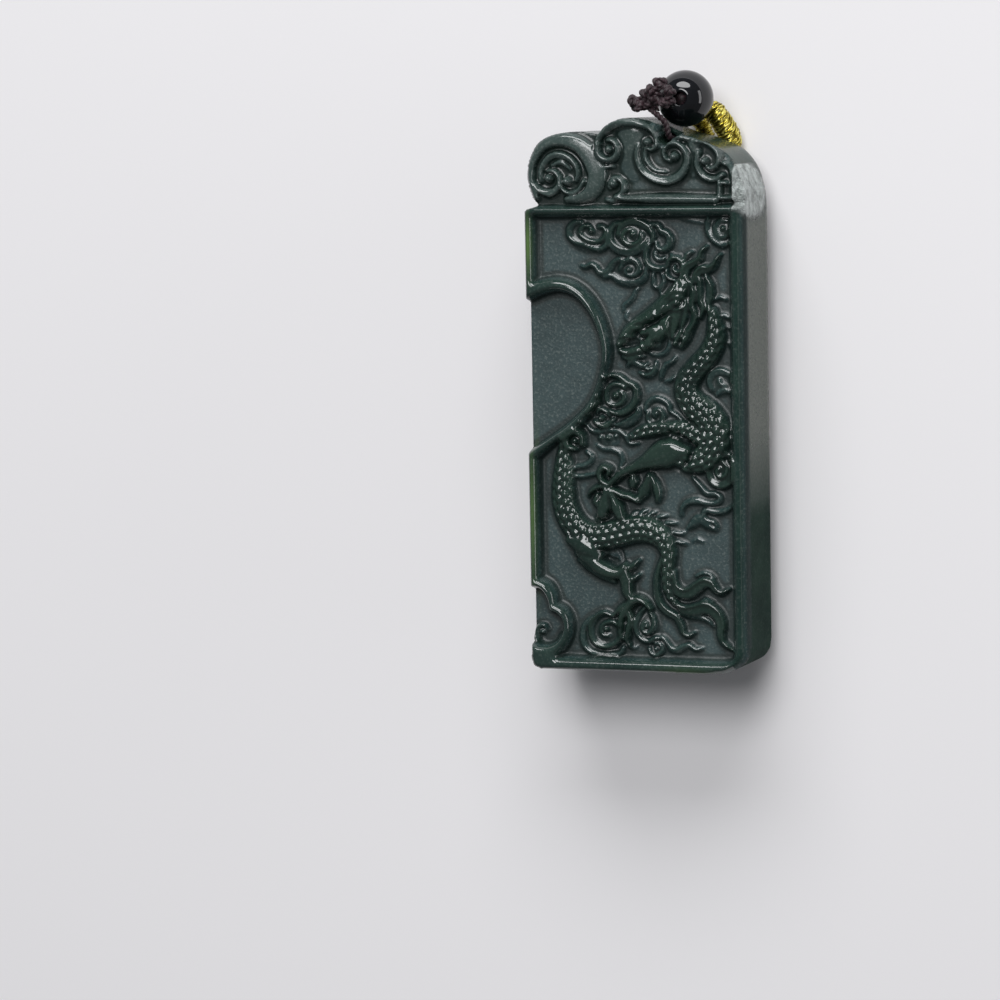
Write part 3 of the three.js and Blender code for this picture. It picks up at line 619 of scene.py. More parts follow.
# the lobe's upper edge, curling in on both sides
scroll([[10.35, 70.8], [10.4, 72.4], [11.7, 73.8], [13.8, 74.75], [15.9, 74.7], [17.7, 73.9], [18.7, 72.7],
        [18.8, 71.6], [18.1, 71.0], [17.3, 71.3]],
       [0.35, 0.4, 0.5, 0.55, 0.55, 0.5, 0.42, 0.36, 0.3, 0.22], 1.55, 1)
swell([[15.2, 73.4], [15.2, 71.0], [15.0, 68.0]], [2.6, 2.6, 1.6], [1.0, 0.8, 0.35], 0.7)
swell([[24.0, 71.6], [24.0, 68.0]], [1.4, 1.0], [0.7, 0.3], 0.7)
scroll(curl(11.9, 71.1, 1.6, 1.25, 150, 0.85), [0.35, 0.55, 0.6, 0.55, 0.35], 1.45, shoulder=0.6)
scroll([[9.6, 71.9], [9.3, 70.6], [9.9, 69.3], [11.2, 68.7], [12.6, 68.8]], [0.2, 0.35, 0.4, 0.35, 0.15], 1.0)

# the middle curl, wound the other way, and the small one on its right
scroll([[16.3, 71.6], [16.1, 69.9], [16.9, 68.1], [18.6, 67.0], [20.4, 66.75], [22.0, 67.4], [23.0, 68.9],
        [22.9, 70.5], [21.9, 71.6], [20.7, 71.7], [19.9, 70.9], [20.0, 69.9], [20.7, 69.4]],
       [0.25, 0.4, 0.5, 0.55, 0.6, 0.62, 0.62, 0.55, 0.5, 0.42, 0.36, 0.3, 0.2], 1.5, -1)
scroll([[17.1, 71.2], [17.2, 69.6], [18.4, 68.2], [20.0, 67.9]], [0.25, 0.35, 0.3, 0.15], 0.8)
scroll([[20.2, 72.5], [21.9, 72.65], [23.6, 72.3]], [0.2, 0.4, 0.3], 1.1)
scroll([[24.2, 72.0], [25.7, 71.9], [27.0, 71.1], [27.6, 69.9], [27.3, 68.7], [26.4, 68.3], [25.7, 68.8]],
       [0.2, 0.32, 0.4, 0.42, 0.36, 0.3, 0.2], 1.45, 1)
scroll([[24.8, 70.6], [24.6, 68.9], [25.4, 67.4], [26.9, 66.9], [28.2, 67.5]], [0.3, 0.42, 0.5, 0.48, 0.3],
       1.25, -1)

# the square fret at the right, and the bar over the frame that starts in a curl
scroll([[28.3, 69.0], [29.1, 68.6], [29.5, 67.5], [29.55, 65.8], [29.55, 64.2]], 0.34, 1.35, 1)
scroll([[29.6, 64.35], [28.6, 64.3], [27.65, 64.35]], 0.34, 1.35)
scroll([[27.7, 64.2], [27.7, 65.2], [27.75, 66.5]], 0.32, 1.35)
scroll([[27.6, 66.3], [28.2, 66.35], [28.75, 66.3]], 0.3, 1.35)
scroll([[12.8, 64.55], [14.6, 64.3], [21.0, 64.2], [27.1, 64.05]], [0.4, 0.72, 0.78, 0.74], 1.4,
       shoulder=0.75)
scroll(curl(12.75, 66.05, 1.45, 0.85, 285, 0.75), [0.35, 0.45, 0.4, 0.3], 1.25, 1)
scroll([[11.4, 64.2], [12.2, 64.0], [13.2, 64.1]], [0.25, 0.4, 0.2], 0.8)

for u, v, r in [(3.1, 67.2, 0.66), (5.75, 66.75, 0.66), (12.0, 71.1, 0.68), (17.5, 72.0, 0.56),
                (21.3, 70.0, 0.66), (25.6, 69.3, 0.56), (12.5, 66.35, 0.6)]:
    bead(u, v, r, 1.55, HEAD_GROUND)


# %% [markdown]
# ## Clouds round the dragon
# Each cloud is a low pad with a lipped band wound over it. The lip is on the outer side, so the
# light catches a thin line there, and the band slopes down towards the heart of the curl.

# %% The clouds
for u, v, ru, h in [(8.6, 59.4, 2.5, 0.55), (14.9, 59.3, 2.7, 0.7), (14.0, 54.4, 1.8, 0.45),
                    (27.7, 59.9, 1.5, 1), (12.6, 37.3, 2.0, 0.8), (18.1, 34.7, 1.6, 0.5),
                    (6.2, 31.0, 1.5, 1.0), (27.4, 27.4, 1.7, 1), (10.2, 4.2, 2.6, 0.6),
                    (16.2, 5.2, 1.6, 0.6), (27.3, 38.9, 1.7, 0.45), (11.0, 31.2, 1.5, 0.5)]:
    swell([[u - 0.2, v], [u + 0.2, v]], ru, 0.75 * h, 0.4)

CLOUDS = [
    # right edge, below the bend of the trunk, with the ribbons under it
    ([[27.4, 29.6], [28.6, 28.9], [29.1, 27.4], [28.7, 25.9], [27.5, 25.1], [26.2, 25.5], [25.6, 26.7],
      [25.9, 27.8]],
     [0.3, 0.5, 0.6, 0.62, 0.62, 0.6, 0.5, 0.3], 1.5, 1),
    ([[27.5, 28.3], [28.1, 27.5], [27.9, 26.5], [27.1, 26.2], [26.7, 26.9], [27.2, 27.3]],
     [0.25, 0.36, 0.38, 0.36, 0.3, 0.2], 1.5, 1),
    ([[23.1, 26.0], [24.2, 24.8], [25.1, 23.8], [26.4, 23.7], [27.0, 23.2], [26.6, 22.6], [25.2, 22.5],
      [23.7, 22.8], [22.3, 22.5], [21.5, 21.6], [21.4, 20.6]],
      [0.15, 0.3, 0.4, 0.36, 0.34, 0.34, 0.4, 0.45, 0.4, 0.32, 0.12], 0.95, 1),
    ([[29.0, 22.3], [27.8, 21.5], [26.3, 21.3], [25.0, 21.5], [24.6, 20.9], [25.0, 20.1], [26.1, 19.8],
      [26.6, 19.1]],
     [0.2, 0.34, 0.4, 0.4, 0.34, 0.34, 0.3, 0.12], 0.95, 1),
    # upper left pair, with the long tail below
    ([[7.6, 61.1], [6.5, 61.0], [5.8, 60.2], [5.85, 59.2], [6.7, 58.5], [7.8, 58.2], [8.9, 57.75],
      [10.2, 57.5], [11.0, 58.0], [11.2, 58.9]], [0.25, 0.4, 0.45, 0.45, 0.45, 0.4, 0.42, 0.45, 0.42,
      0.25], 1.15, -1),
    ([[10.1, 60.5], [10.9, 60.3], [11.0, 59.4], [10.3, 58.6], [9.2, 58.5], [8.1, 58.9], [7.4, 59.6],
      [7.7, 60.4], [8.5, 60.6], [9.1, 60.1], [8.9, 59.6]],
      [0.25, 0.32, 0.34, 0.34, 0.34, 0.34, 0.32, 0.3, 0.28, 0.24, 0.16], 1.35, 1),
    ([[13.6, 61.0], [12.5, 60.9], [11.7, 60.0], [11.5, 58.8], [12.2, 57.7], [13.5, 57.0], [15.0, 56.95],
      [16.3, 57.6], [17.2, 58.6]], [0.2, 0.4, 0.5, 0.55, 0.58, 0.58, 0.55, 0.45, 0.25], 1.25, 1),
    ([[12.9, 59.3], [13.3, 60.4], [14.5, 61.1], [16.0, 61.0], [17.3, 60.2], [17.9, 59.1], [17.7, 58.3]],
     [0.3, 0.45, 0.5, 0.52, 0.5, 0.42, 0.2], 1.4, 1),
    ([[16.3, 59.5], [16.2, 58.5], [15.2, 57.9], [14.1, 58.1], [13.5, 59.0], [13.9, 59.9], [14.9, 60.1],
      [15.5, 59.5], [15.2, 58.9]], [0.3, 0.38, 0.4, 0.4, 0.38, 0.36, 0.32, 0.28, 0.18], 1.45, -1),
    ([[17.6, 60.8], [18.6, 60.5], [19.0, 59.8], [19.8, 59.5], [20.3, 58.7], [20.0, 57.7], [19.2, 57.3],
      [18.5, 57.6], [18.3, 58.3]], [0.2, 0.4, 0.42, 0.45, 0.5, 0.48, 0.4, 0.32, 0.18], 1.2, 1),
    ([[17.3, 58.0], [16.8, 57.0], [16.8, 55.8], [17.5, 54.9], [18.7, 54.6], [19.6, 54.9]],
     [0.3, 0.4, 0.45, 0.45, 0.4, 0.2], 1.3, 1),
    ([[18.1, 57.0], [18.2, 56.2], [18.9, 55.9], [19.6, 56.2]], [0.2, 0.28, 0.25, 0.15], 0.9, 1),
    ([[7.3, 55.1], [8.0, 54.9], [8.8, 55.25], [9.5, 54.9], [10.0, 54.2], [10.8, 54.0], [11.5, 54.5],
      [12.1, 55.4], [13.0, 55.9], [14.0, 55.7]], [0.12, 0.25, 0.34, 0.38, 0.42, 0.45, 0.42, 0.38, 0.35,
      0.2], 1.15, 1),
    ([[13.1, 54.6], [13.6, 55.5], [14.6, 55.9], [15.5, 55.5], [15.8, 54.5], [15.1, 53.8], [14.2, 53.9],
      [13.9, 54.5], [14.5, 54.8]], [0.25, 0.34, 0.38, 0.4, 0.4, 0.36, 0.3, 0.24, 0.16], 1.15, 1),
    ([[10.6, 53.4], [11.8, 53.7], [12.9, 53.0], [14.3, 52.7], [15.8, 52.9], [16.7, 53.7], [16.8, 54.8]],
     [0.12, 0.35, 0.42, 0.45, 0.45, 0.42, 0.2], 0.95, 1),
    # upper right corner
    ([[25.9, 61.7], [25.7, 60.7], [26.0, 59.6], [26.8, 58.7], [27.8, 58.1], [28.9, 58.2]],
     [0.2, 0.35, 0.5, 0.6, 0.55, 0.3], 1.0, -1),
    ([[28.7, 61.2], [27.6, 61.2], [27.0, 60.3], [27.3, 59.3], [28.2, 59.0], [28.7, 59.6], [28.3, 60.2]],
     [0.2, 0.34, 0.36, 0.36, 0.32, 0.28, 0.16], 1.1, -1),
    ([[22.0, 61.5], [23.5, 61.25], [25.3, 60.9]], [0.1, 0.2, 0.1], 0.45, 0),
    # beside the neck, right edge
    ([[26.6, 50.4], [27.3, 50.75], [28.3, 50.5]], [0.15, 0.3, 0.15], 0.7, 1),
    ([[27.0, 48.4], [28.0, 48.2], [29.0, 47.8]], [0.15, 0.35, 0.15], 0.7, 1),
    ([[27.4, 47.0], [28.3, 46.7], [29.0, 46.2]], [0.12, 0.25, 0.1], 0.5, 1),
    ([[28.0, 44.9], [28.6, 44.3], [29.0, 43.6]], [0.12, 0.3, 0.12], 0.5, 1),
    ([[26.0, 38.2], [25.7, 39.3], [26.3, 40.3], [27.4, 40.6], [28.5, 40.2], [28.9, 39.2]],
     [0.3, 0.42, 0.5, 0.5, 0.45, 0.25], 1.0, 1),
    ([[27.1, 39.6], [27.3, 38.9], [28.0, 38.6]], [0.2, 0.32, 0.15], 1.0, 1),
    ([[26.7, 37.3], [27.6, 38.0], [28.6, 37.8], [28.9, 37.1]], [0.15, 0.35, 0.35, 0.15], 0.8, 1),
    # in front of the throat, below the disc
    ([[10.7, 39.6], [11.6, 39.95], [12.8, 39.7], [13.8, 38.9], [14.8, 38.5], [15.2, 37.6], [15.0, 36.5],
      [14.4, 35.6], [13.3, 34.9], [12.1, 34.8], [11.3, 35.1]],
     [0.2, 0.35, 0.45, 0.48, 0.46, 0.46, 0.48, 0.5, 0.5, 0.42, 0.25], 1.5, 1),
    ([[13.6, 38.2], [12.7, 38.7], [11.5, 38.5], [10.9, 37.6], [11.0, 36.4], [11.8, 35.9], [12.9, 36.1],
      [13.4, 37.0], [12.9, 37.7], [12.2, 37.4]],
     [0.22, 0.3, 0.36, 0.38, 0.36, 0.34, 0.32, 0.3, 0.26, 0.16], 1.4, -1),
    ([[9.9, 37.2], [9.9, 36.3], [9.2, 35.6], [8.6, 35.0], [8.4, 34.2]], [0.15, 0.3, 0.35, 0.35, 0.2], 1.0, 0),
    ([[15.5, 35.3], [15.2, 34.4], [14.2, 33.6], [13.0, 33.1], [12.0, 33.1]], [0.35, 0.55, 0.6, 0.5, 0.2],
     1.15, -1),
    ([[16.4, 35.1], [16.7, 36.0], [17.7, 36.7], [18.9, 36.6], [19.8, 35.9], [20.0, 35.1], [20.8, 34.6],
      [21.4, 34.1], [22.2, 33.6]], [0.25, 0.34, 0.38, 0.38, 0.34, 0.28, 0.24, 0.2, 0.1], 0.95, 1),
    ([[16.9, 34.9], [16.8, 34.0], [17.5, 33.3], [18.5, 33.4], [19.0, 34.3], [18.6, 35.2], [17.9, 35.2],
      [17.6, 34.6], [18.1, 34.2]], [0.28, 0.34, 0.36, 0.36, 0.34, 0.3, 0.26, 0.22, 0.14], 1.25, -1),
    ([[9.1, 33.6], [10.0, 33.1], [11.1, 33.2], [11.8, 33.9]], [0.3, 0.45, 0.5, 0.25], 1.5, -1),
    ([[9.4, 34.7], [9.8, 35.3], [10.7, 35.0], [11.3, 34.3]], [0.2, 0.32, 0.32, 0.2], 1.2, 0),
    ([[7.2, 33.6], [7.9, 33.0], [8.5, 32.3], [9.6, 32.1], [11.0, 32.3], [12.4, 32.2], [13.4, 31.6],
      [14.0, 30.6], [15.3, 30.6]], [0.15, 0.28, 0.32, 0.32, 0.34, 0.36, 0.32, 0.26, 0.12], 0.95, 1),
    ([[9.2, 30.3], [10.2, 29.7], [11.5, 29.6], [12.5, 29.2], [12.9, 28.2], [12.6, 27.2], [12.0, 26.4]],
     [0.15, 0.24, 0.28, 0.3, 0.3, 0.26, 0.12], 0.7, 1),
    # below the curl that the lower trunk comes out of
    ([[7.7, 29.3], [8.4, 28.7], [8.2, 27.9], [7.3, 27.4], [6.1, 27.2], [5.5, 26.6], [6.0, 25.9],
      [7.4, 25.9], [8.9, 26.2], [9.9, 26.1]], [0.2, 0.3, 0.34, 0.34, 0.34, 0.32, 0.3, 0.28, 0.24,
      0.12], 0.9, 1),
    # right of the fore foot
    ([[22.3, 18.9], [23.2, 19.6], [24.1, 20.2], [25.2, 19.4], [26.4, 18.8]], [0.2, 0.6, 0.7, 0.5, 0.2], 0.7,
     0),
    ([[20.4, 18.3], [21.2, 18.2], [22.0, 18.5]], [0.1, 0.2, 0.1], 0.5, 1),
    ([[22.9, 17.0], [23.6, 17.4], [24.6, 17.0]], [0.1, 0.22, 0.1], 0.4, 1),
    # lower left and lower middle
    ([[9.4, 6.3], [8.2, 6.0], [7.2, 5.0], [6.8, 3.7], [7.0, 2.3], [7.9, 1.4], [9.2, 1.1], [10.8, 1.1],
      [12.2, 1.2], [12.8, 2.2]], [0.2, 0.38, 0.42, 0.42, 0.42, 0.42, 0.42, 0.4, 0.36, 0.2], 1.0, -1),
    ([[11.2, 6.5], [10.1, 6.8], [9.0, 6.3], [8.2, 5.2], [8.1, 3.9], [8.7, 2.7], [9.9, 2.2], [11.2, 2.4],
      [12.2, 3.3], [12.3, 4.6], [11.5, 5.5], [10.3, 5.4], [9.6, 4.6], [9.9, 3.8], [10.7, 3.7]],
     [0.25, 0.38, 0.42, 0.44, 0.44, 0.44, 0.42, 0.4, 0.4, 0.4, 0.38, 0.34, 0.3, 0.26, 0.16], 1.4, -1),
    ([[16.3, 8.0], [15.4, 7.1], [14.8, 5.9], [14.7, 4.6], [15.4, 3.5], [16.5, 3.1], [17.6, 3.7]],
     [0.15, 0.3, 0.4, 0.44, 0.44, 0.4, 0.25], 1.2, -1),
    ([[16.5, 7.4], [17.1, 6.4], [17.2, 5.2], [16.6, 4.3], [15.8, 4.4], [15.6, 5.2], [16.1, 5.7], [16.6, 5.2]],
     [0.15, 0.3, 0.34, 0.34, 0.32, 0.28, 0.22, 0.14], 1.3, 1),
    ([[16.4, 2.2], [16.9, 1.3], [17.8, 1.2], [18.4, 1.9], [18.1, 2.7], [17.3, 2.8]],
     [0.15, 0.28, 0.3, 0.3, 0.28, 0.18], 1.0, 0),
    ([[17.6, 3.3], [18.4, 3.6], [19.0, 3.0], [19.7, 2.1], [20.6, 1.9], [21.5, 2.4], [22.4, 2.6],
      [23.2, 2.1], [24.2, 2.3]],
     [0.15, 0.3, 0.38, 0.42, 0.42, 0.4, 0.34, 0.24, 0.1], 1.0, 1),
    ([[13.4, 2.3], [14.1, 2.0], [14.7, 2.3]], [0.1, 0.2, 0.1], 0.5, 0),
    ([[13.4, 48.9], [13.5, 49.6], [14.3, 50.2], [14.9, 50.9], [15.2, 51.7], [15.7, 52.1]],
     [0.12, 0.22, 0.25, 0.25, 0.22, 0.1], 0.65, 1),
    ([[14.0, 48.8], [13.7, 48.0], [14.1, 47.4]], [0.1, 0.2, 0.1], 0.5, 0),
]
CLOUD_RELIEF = 0.9  # the clouds stay lower than the dragon
CLOUD_SPREAD = 1.15  # and their bands are broad, with soft edges
CLOUD_BODY = 0.68
CLOUD_SHOULDER = 0.4
for points, width, height, lip in CLOUDS:
    raise_band(points, np.multiply(width, CLOUD_SPREAD), CLOUD_RELIEF * height, lip, CLOUD_BODY,
               shoulder=CLOUD_SHOULDER)
for u, v, r, h in [(9.05, 59.95, 0.35, 1.6), (15.05, 59.45, 0.4, 1.6), (14.35, 54.55, 0.38, 1.35),
                   (28.0, 60.2, 0.4, 1.35), (12.25, 37.15, 0.45, 1.75), (18.1, 34.7, 0.3, 1.4),
                   (10.1, 34.0, 0.45, 1.9), (10.35, 4.6, 0.4, 1.5), (16.15, 5.1, 0.3, 1.4),
                   (9.9, 31.3, 0.4, 1.1), (11.0, 31.3, 0.45, 1.2), (12.1, 31.5, 0.3, 1.1),
                   (17.5, 2.0, 0.3, 1.1)]:
    bead(u, v, r, CLOUD_RELIEF * h + 0.1)

# the scroll in the lower left corner
raise_band([[-0.6, 3.3], [0.2, 2.4], [1.6, 1.9], [2.9, 2.5], [3.5, 3.7]], [0.3, 0.4, 0.42, 0.36, 0.2], 1.2,
           -1, base=THICKNESS - BAY_DEPTH)
raise_band([[0.3, 2.3], [-0.1, 3.3], [0.1, 4.4], [0.9, 4.8], [1.4, 4.2]], [0.3, 0.4, 0.42, 0.36, 0.2], 1.1, 1,
           base=THICKNESS - BAY_DEPTH)
bead(0.75, 3.9, 0.4, 1.0, THICKNESS - BAY_DEPTH)


# %% [markdown]
# ## The dragon
# The body is one rounded trunk that sinks behind a cloud and comes out again. Its scales are
# worked out along the trunk: rows a fixed length apart, every other row shifted by half a scale,
# each scale a small dome, so that each has its own point of light. The thigh and the belly are
# left smooth and polished.

# %% Trunk and scales
SCALE = 1.25  # length of a scale, mm
SCALE_RISE = 0.6  # how far its middle stands up, mm


def trunk(points, width, height, scaled=True):
    """A domed body along a line, with rows of scales that lie along it."""
    line = catmull(points)
    where = window(line, np.max(width))
    d, side, t, length = beside(line, where)
    w = sizes(width, t)
    x = np.clip(d / w, 0, 1)
    dome = np.sqrt(1 - x**2)
    grown = ground[where] + sizes(height, t) * dome * (0.7 if scaled else 1)
    if scaled:
        across = side * np.arcsin(x) * w / (0.85 * SCALE)
        column = np.floor(across)
        from_middle = 2 * (across - column) - 1
        row = length / SCALE + 0.5 * (column % 2) + 0.3 * from_middle**2
        share = row - np.floor(row)
        lift = np.sqrt(np.clip(1 - (2 * share - 1) ** 2 - 0.9 * from_middle**2, 0, 1))
        grown += SCALE_RISE * lift * np.clip(dome * 1.5, 0, 1)
    face[where] = np.maximum(face[where], np.where(d < w, grown, -9))


trunk([[26.3, 48.9], [26.7, 46.8], [26.6, 44.8], [25.5, 42.7], [23.9, 41.0], [22.7, 39.4], [22.5, 37.7],
       [23.5, 36.0], [25.2, 34.6], [26.4, 32.6], [26.3, 30.4], [24.9, 28.7], [22.6, 28.1], [20.4, 28.9]],
      [0.8, 1.3, 1.55, 1.6, 1.65, 1.75, 1.95, 2.2, 2.4, 2.45, 2.35, 2.0, 1.5, 1.0],
      [1.4, 1.9, 2.0, 2.0, 2.0, 2.1, 2.1, 2.0, 1.8])
trunk([[24.9, 31.4], [22.6, 32.3], [20.4, 32.5], [18.2, 32.6], [16.3, 32.3], [14.3, 31.5]],
      [1.5, 1.5, 1.35, 1.2, 1.05, 0.5], [1.9, 1.8, 1.6, 1.3, 0.9])
trunk([[4.6, 30.2], [4.5, 28.4], [4.4, 26.3], [4.3, 24.0], [4.5, 21.9], [5.3, 19.9], [6.7, 18.3],
       [8.5, 17.6], [10.6, 17.7], [12.8, 18.2], [15.0, 18.7], [17.0, 18.5], [18.7, 17.4], [19.5, 15.6],
       [19.5, 13.6], [19.3, 11.6], [19.5, 9.9], [20.4, 8.5]],
      [0.9, 1.3, 1.6, 1.75, 1.85, 1.95, 2.05, 2.1, 2.05, 2.05, 2.05, 2.0, 1.75, 1.4, 1.05, 0.85, 0.75, 0.5],
      [1.5, 1.9, 2.1, 2.2, 2.2, 2.2, 2.1, 2.0, 1.8, 1.4])
# the back's fin: short points along the outer edge of the trunk
for u, v, turn in [(14.6, 20.9, 40), (15.9, 21.1, 35), (17.1, 20.9, 30), (18.5, 20.5, 15), (19.8, 19.6, 0),
                   (20.8, 18.2, -15), (21.3, 16.9, -20)]:
    a = np.radians(turn)
    tip = [u + 0.9 * np.cos(a), v + 0.35 * np.sin(a)]
    raise_band([[u - 0.6 * np.cos(a), v - 0.6 * np.sin(a)], [u, v], tip], [0.3, 0.28, 0.08], 0.75)

# %% Legs and claws
groove([[18.2, 31.6], [20.4, 32.0], [22.4, 31.2], [23.1, 29.7], [22.7, 28.2], [21.2, 27.2]], 0.55,
       [0.3, 0.9, 1.1, 1.1, 0.9, 0.3])
trunk([[22.2, 29.6], [20.6, 29.5], [18.7, 29.0], [16.9, 28.2], [15.4, 27.5], [14.1, 26.9], [12.9, 26.3],
       [11.9, 25.5], [11.0, 24.7]],
      [1.0, 1.9, 2.15, 1.6, 1.05, 0.75, 0.66, 0.6, 0.5], [1.9, 2.7, 2.9, 2.7, 2.3, 2.1, 1.9, 1.8, 1.7], False)
groove([[14.8, 27.5], [16.8, 27.8], [18.8, 28.4], [20.9, 29.5]], [0.1, 0.22, 0.24, 0.12],
       [0.1, 0.32, 0.32, 0.1])
swell([[16.6, 29.1], [18.6, 30.2], [20.5, 30.3]], [0.3, 0.6, 0.5], [0.1, 0.3, 0.2])
CLAWS = [
    ([[11.0, 24.8], [10.1, 25.4], [9.8, 26.4], [10.4, 27.2], [11.2, 26.9], [11.1, 26.2]],
     [0.35, 0.45, 0.5, 0.5, 0.42, 0.3], 1.9),
    ([[10.7, 24.5], [9.6, 24.5], [8.4, 23.8], [8.0, 23.1]], [0.38, 0.4, 0.34, 0.12], 1.5),
    ([[10.7, 24.4], [10.7, 23.2], [10.4, 21.9], [10.1, 20.7]], [0.4, 0.66, 0.95, 0.75], 2.0),
    ([[11.3, 24.1], [12.0, 22.5], [12.4, 21.3], [12.8, 20.4]], [0.38, 0.55, 0.82, 0.66], 2.0),
    ([[11.6, 24.2], [13.1, 23.4], [14.2, 23.2], [15.3, 22.6]], [0.34, 0.48, 0.5, 0.34], 1.8),
    ([[9.4, 23.4], [9.1, 22.5], [9.5, 21.6]], [0.3, 0.55, 0.3], 1.2),
    ([[14.6, 26.0], [14.6, 25.3], [14.5, 24.7]], [0.45, 0.75, 0.5], 1.3),
    ([[16.9, 26.3], [16.5, 24.8], [15.8, 23.5], [15.2, 22.9]], [0.3, 0.62, 0.8, 0.4], 1.25),
    ([[17.3, 26.2], [17.8, 24.8], [18.1, 23.5], [18.0, 22.7]], [0.22, 0.55, 0.62, 0.3], 1.1),
    ([[9.8, 20.8], [9.4, 20.0], [10.1, 19.5]], [0.3, 0.5, 0.3], 1.1),
    # hind foot
    ([[12.9, 12.6], [13.4, 11.2], [13.6, 9.8], [14.3, 8.9]], [0.85, 0.8, 0.75, 0.6], 1.7),
    ([[13.0, 12.9], [14.2, 13.4], [15.3, 14.4]], [0.35, 0.42, 0.12], 1.2),
    ([[13.1, 11.5], [14.3, 11.7], [15.3, 12.4]], [0.35, 0.4, 0.12], 1.1),
    ([[16.9, 7.6], [16.3, 8.4], [15.3, 8.9], [14.2, 8.5], [13.4, 7.5], [12.7, 6.3], [12.5, 5.2]],
     [0.25, 0.42, 0.6, 0.62, 0.6, 0.52, 0.4], 1.8),
    ([[13.4, 7.6], [13.9, 6.2], [13.6, 4.6], [13.4, 3.2], [13.8, 2.2]], [0.5, 0.5, 0.46, 0.4, 0.15], 1.5),
    ([[13.2, 8.1], [12.0, 7.1], [11.4, 6.4]], [0.4, 0.4, 0.15], 1.3),
    ([[12.9, 5.4], [12.4, 4.2], [12.9, 3.2]], [0.3, 0.45, 0.2], 1.3),
]
for points, width, height in CLAWS:
    raise_band(points, np.multiply(width, 1.3), height, shoulder=0.75)

# the polished belly and flank, hollow in the middle
trunk([[5.5, 17.0], [6.9, 16.4], [8.3, 15.7], [9.5, 14.9]], [0.9, 1.45, 1.35, 0.8], [2.4, 2.9, 2.7, 2.1],
      False)
trunk([[6.4, 15.3], [8.1, 14.4], [9.6, 13.3], [11.2, 12.6], [12.7, 12.6], [13.3, 13.6]],
      [0.7, 1.15, 1.25, 1.1, 0.9, 0.5], [1.5, 2.0, 2.3, 2.4, 2.2, 1.8], False)
trunk([[6.4, 14.2], [8.0, 13.1], [9.8, 12.1], [11.6, 11.3]], [0.3, 0.55, 0.6, 0.4], [0.9, 1.2, 1.2, 0.9],
      False)
groove([[9.3, 15.5], [10.4, 14.4], [11.8, 14.2]], [0.5, 0.7, 0.5], [0.5, 0.8, 0.4])
groove([[11.9, 16.2], [12.6, 15.2], [12.9, 13.9]], [0.3, 0.4, 0.2], [0.4, 0.5, 0.2])

# %% Tail
TAIL = [
    ([[18.6, 14.9], [18.1, 13.4], [17.7, 11.6], [17.7, 9.9], [18.2, 8.3], [19.3, 7.2], [20.4, 6.6],
      [21.1, 5.5], [21.5, 4.4], [22.3, 4.0], [23.1, 4.5]], [0.2, 0.32, 0.42, 0.46, 0.5, 0.5, 0.5, 0.48, 0.44,
      0.32, 0.1], 1.3, 1),
    ([[20.5, 13.1], [20.2, 11.8], [20.5, 10.6], [21.4, 9.9], [22.6, 10.0], [23.6, 10.7], [24.6, 11.4],
      [25.6, 11.3], [26.3, 10.5], [27.1, 10.1], [28.3, 10.7]],
      [0.15, 0.45, 0.65, 0.72, 0.75, 0.75, 0.7, 0.6, 0.48, 0.35, 0.1], 1.5, 1),
    ([[20.5, 8.4], [21.7, 7.6], [23.1, 7.6], [24.4, 7.9], [25.6, 7.7], [26.6, 6.8], [27.0, 5.6],
      [26.9, 4.3], [27.3, 3.2], [28.1, 2.6], [29.0, 2.1]], [0.3, 0.55, 0.7, 0.78, 0.78, 0.74, 0.66, 0.55,
      0.44, 0.32, 0.1], 1.5, 1),
    ([[21.0, 7.0], [22.3, 6.7], [23.8, 6.6], [25.0, 6.2], [25.9, 5.4]], [0.2, 0.3, 0.35, 0.3, 0.1], 0.8, 1),
    ([[23.3, 12.2], [24.3, 12.7], [25.3, 12.6], [26.1, 12.0]], [0.1, 0.22, 0.24, 0.1], 0.8, 1),
    ([[23.8, 8.6], [24.8, 9.0], [25.8, 8.7]], [0.1, 0.3, 0.15], 0.9, 1),
]
for points, width, height, lip in TAIL:
    raise_band(points, np.multiply(width, 1.2), height, lip, 0.66)
groove([[19.3, 13.8], [19.0, 12.0], [19.0, 10.2], [19.6, 8.9], [20.7, 8.0]], 0.12, 0.35)

# %% [markdown]
# ## The dragon's head
# It points down to the left: a long snout with a jagged ridge, an open jaw with a round cheek, an
# eye under a raised lid, and horns and a mane that blow back to the upper right.

# %% Skull and jaw
raise_band([[12.9, 44.3], [13.6, 45.3], [14.7, 46.4], [16.3, 47.5], [18.0, 48.6], [19.7, 49.8],
            [21.2, 51.0], [22.3, 52.4]],
           [0.6, 1.0, 1.1, 1.15, 1.3, 1.5, 1.6, 1.1], [1.3, 1.5, 1.6, 1.7, 1.8, 1.8, 1.8, 1.6], shoulder=1.1)
raise_band([[16.4, 45.8], [18.0, 45.9], [19.6, 46.8], [21.0, 48.2], [22.0, 49.8]], [0.8, 1.5, 1.5, 1.3, 0.9],
           [1.2, 1.3, 1.3, 1.2, 1.1], shoulder=1.0)
raise_band([[13.0, 43.4], [14.0, 43.2], [15.1, 43.3], [16.2, 43.8], [17.2, 44.5]], [0.5, 0.7, 0.7, 0.8, 0.9],
           [1.0, 1.2, 1.3, 1.4, 1.4], shoulder=0.6)
swell([[18.0, 44.7], [18.1, 45.6]], 1.5, 0.7, 0.6)
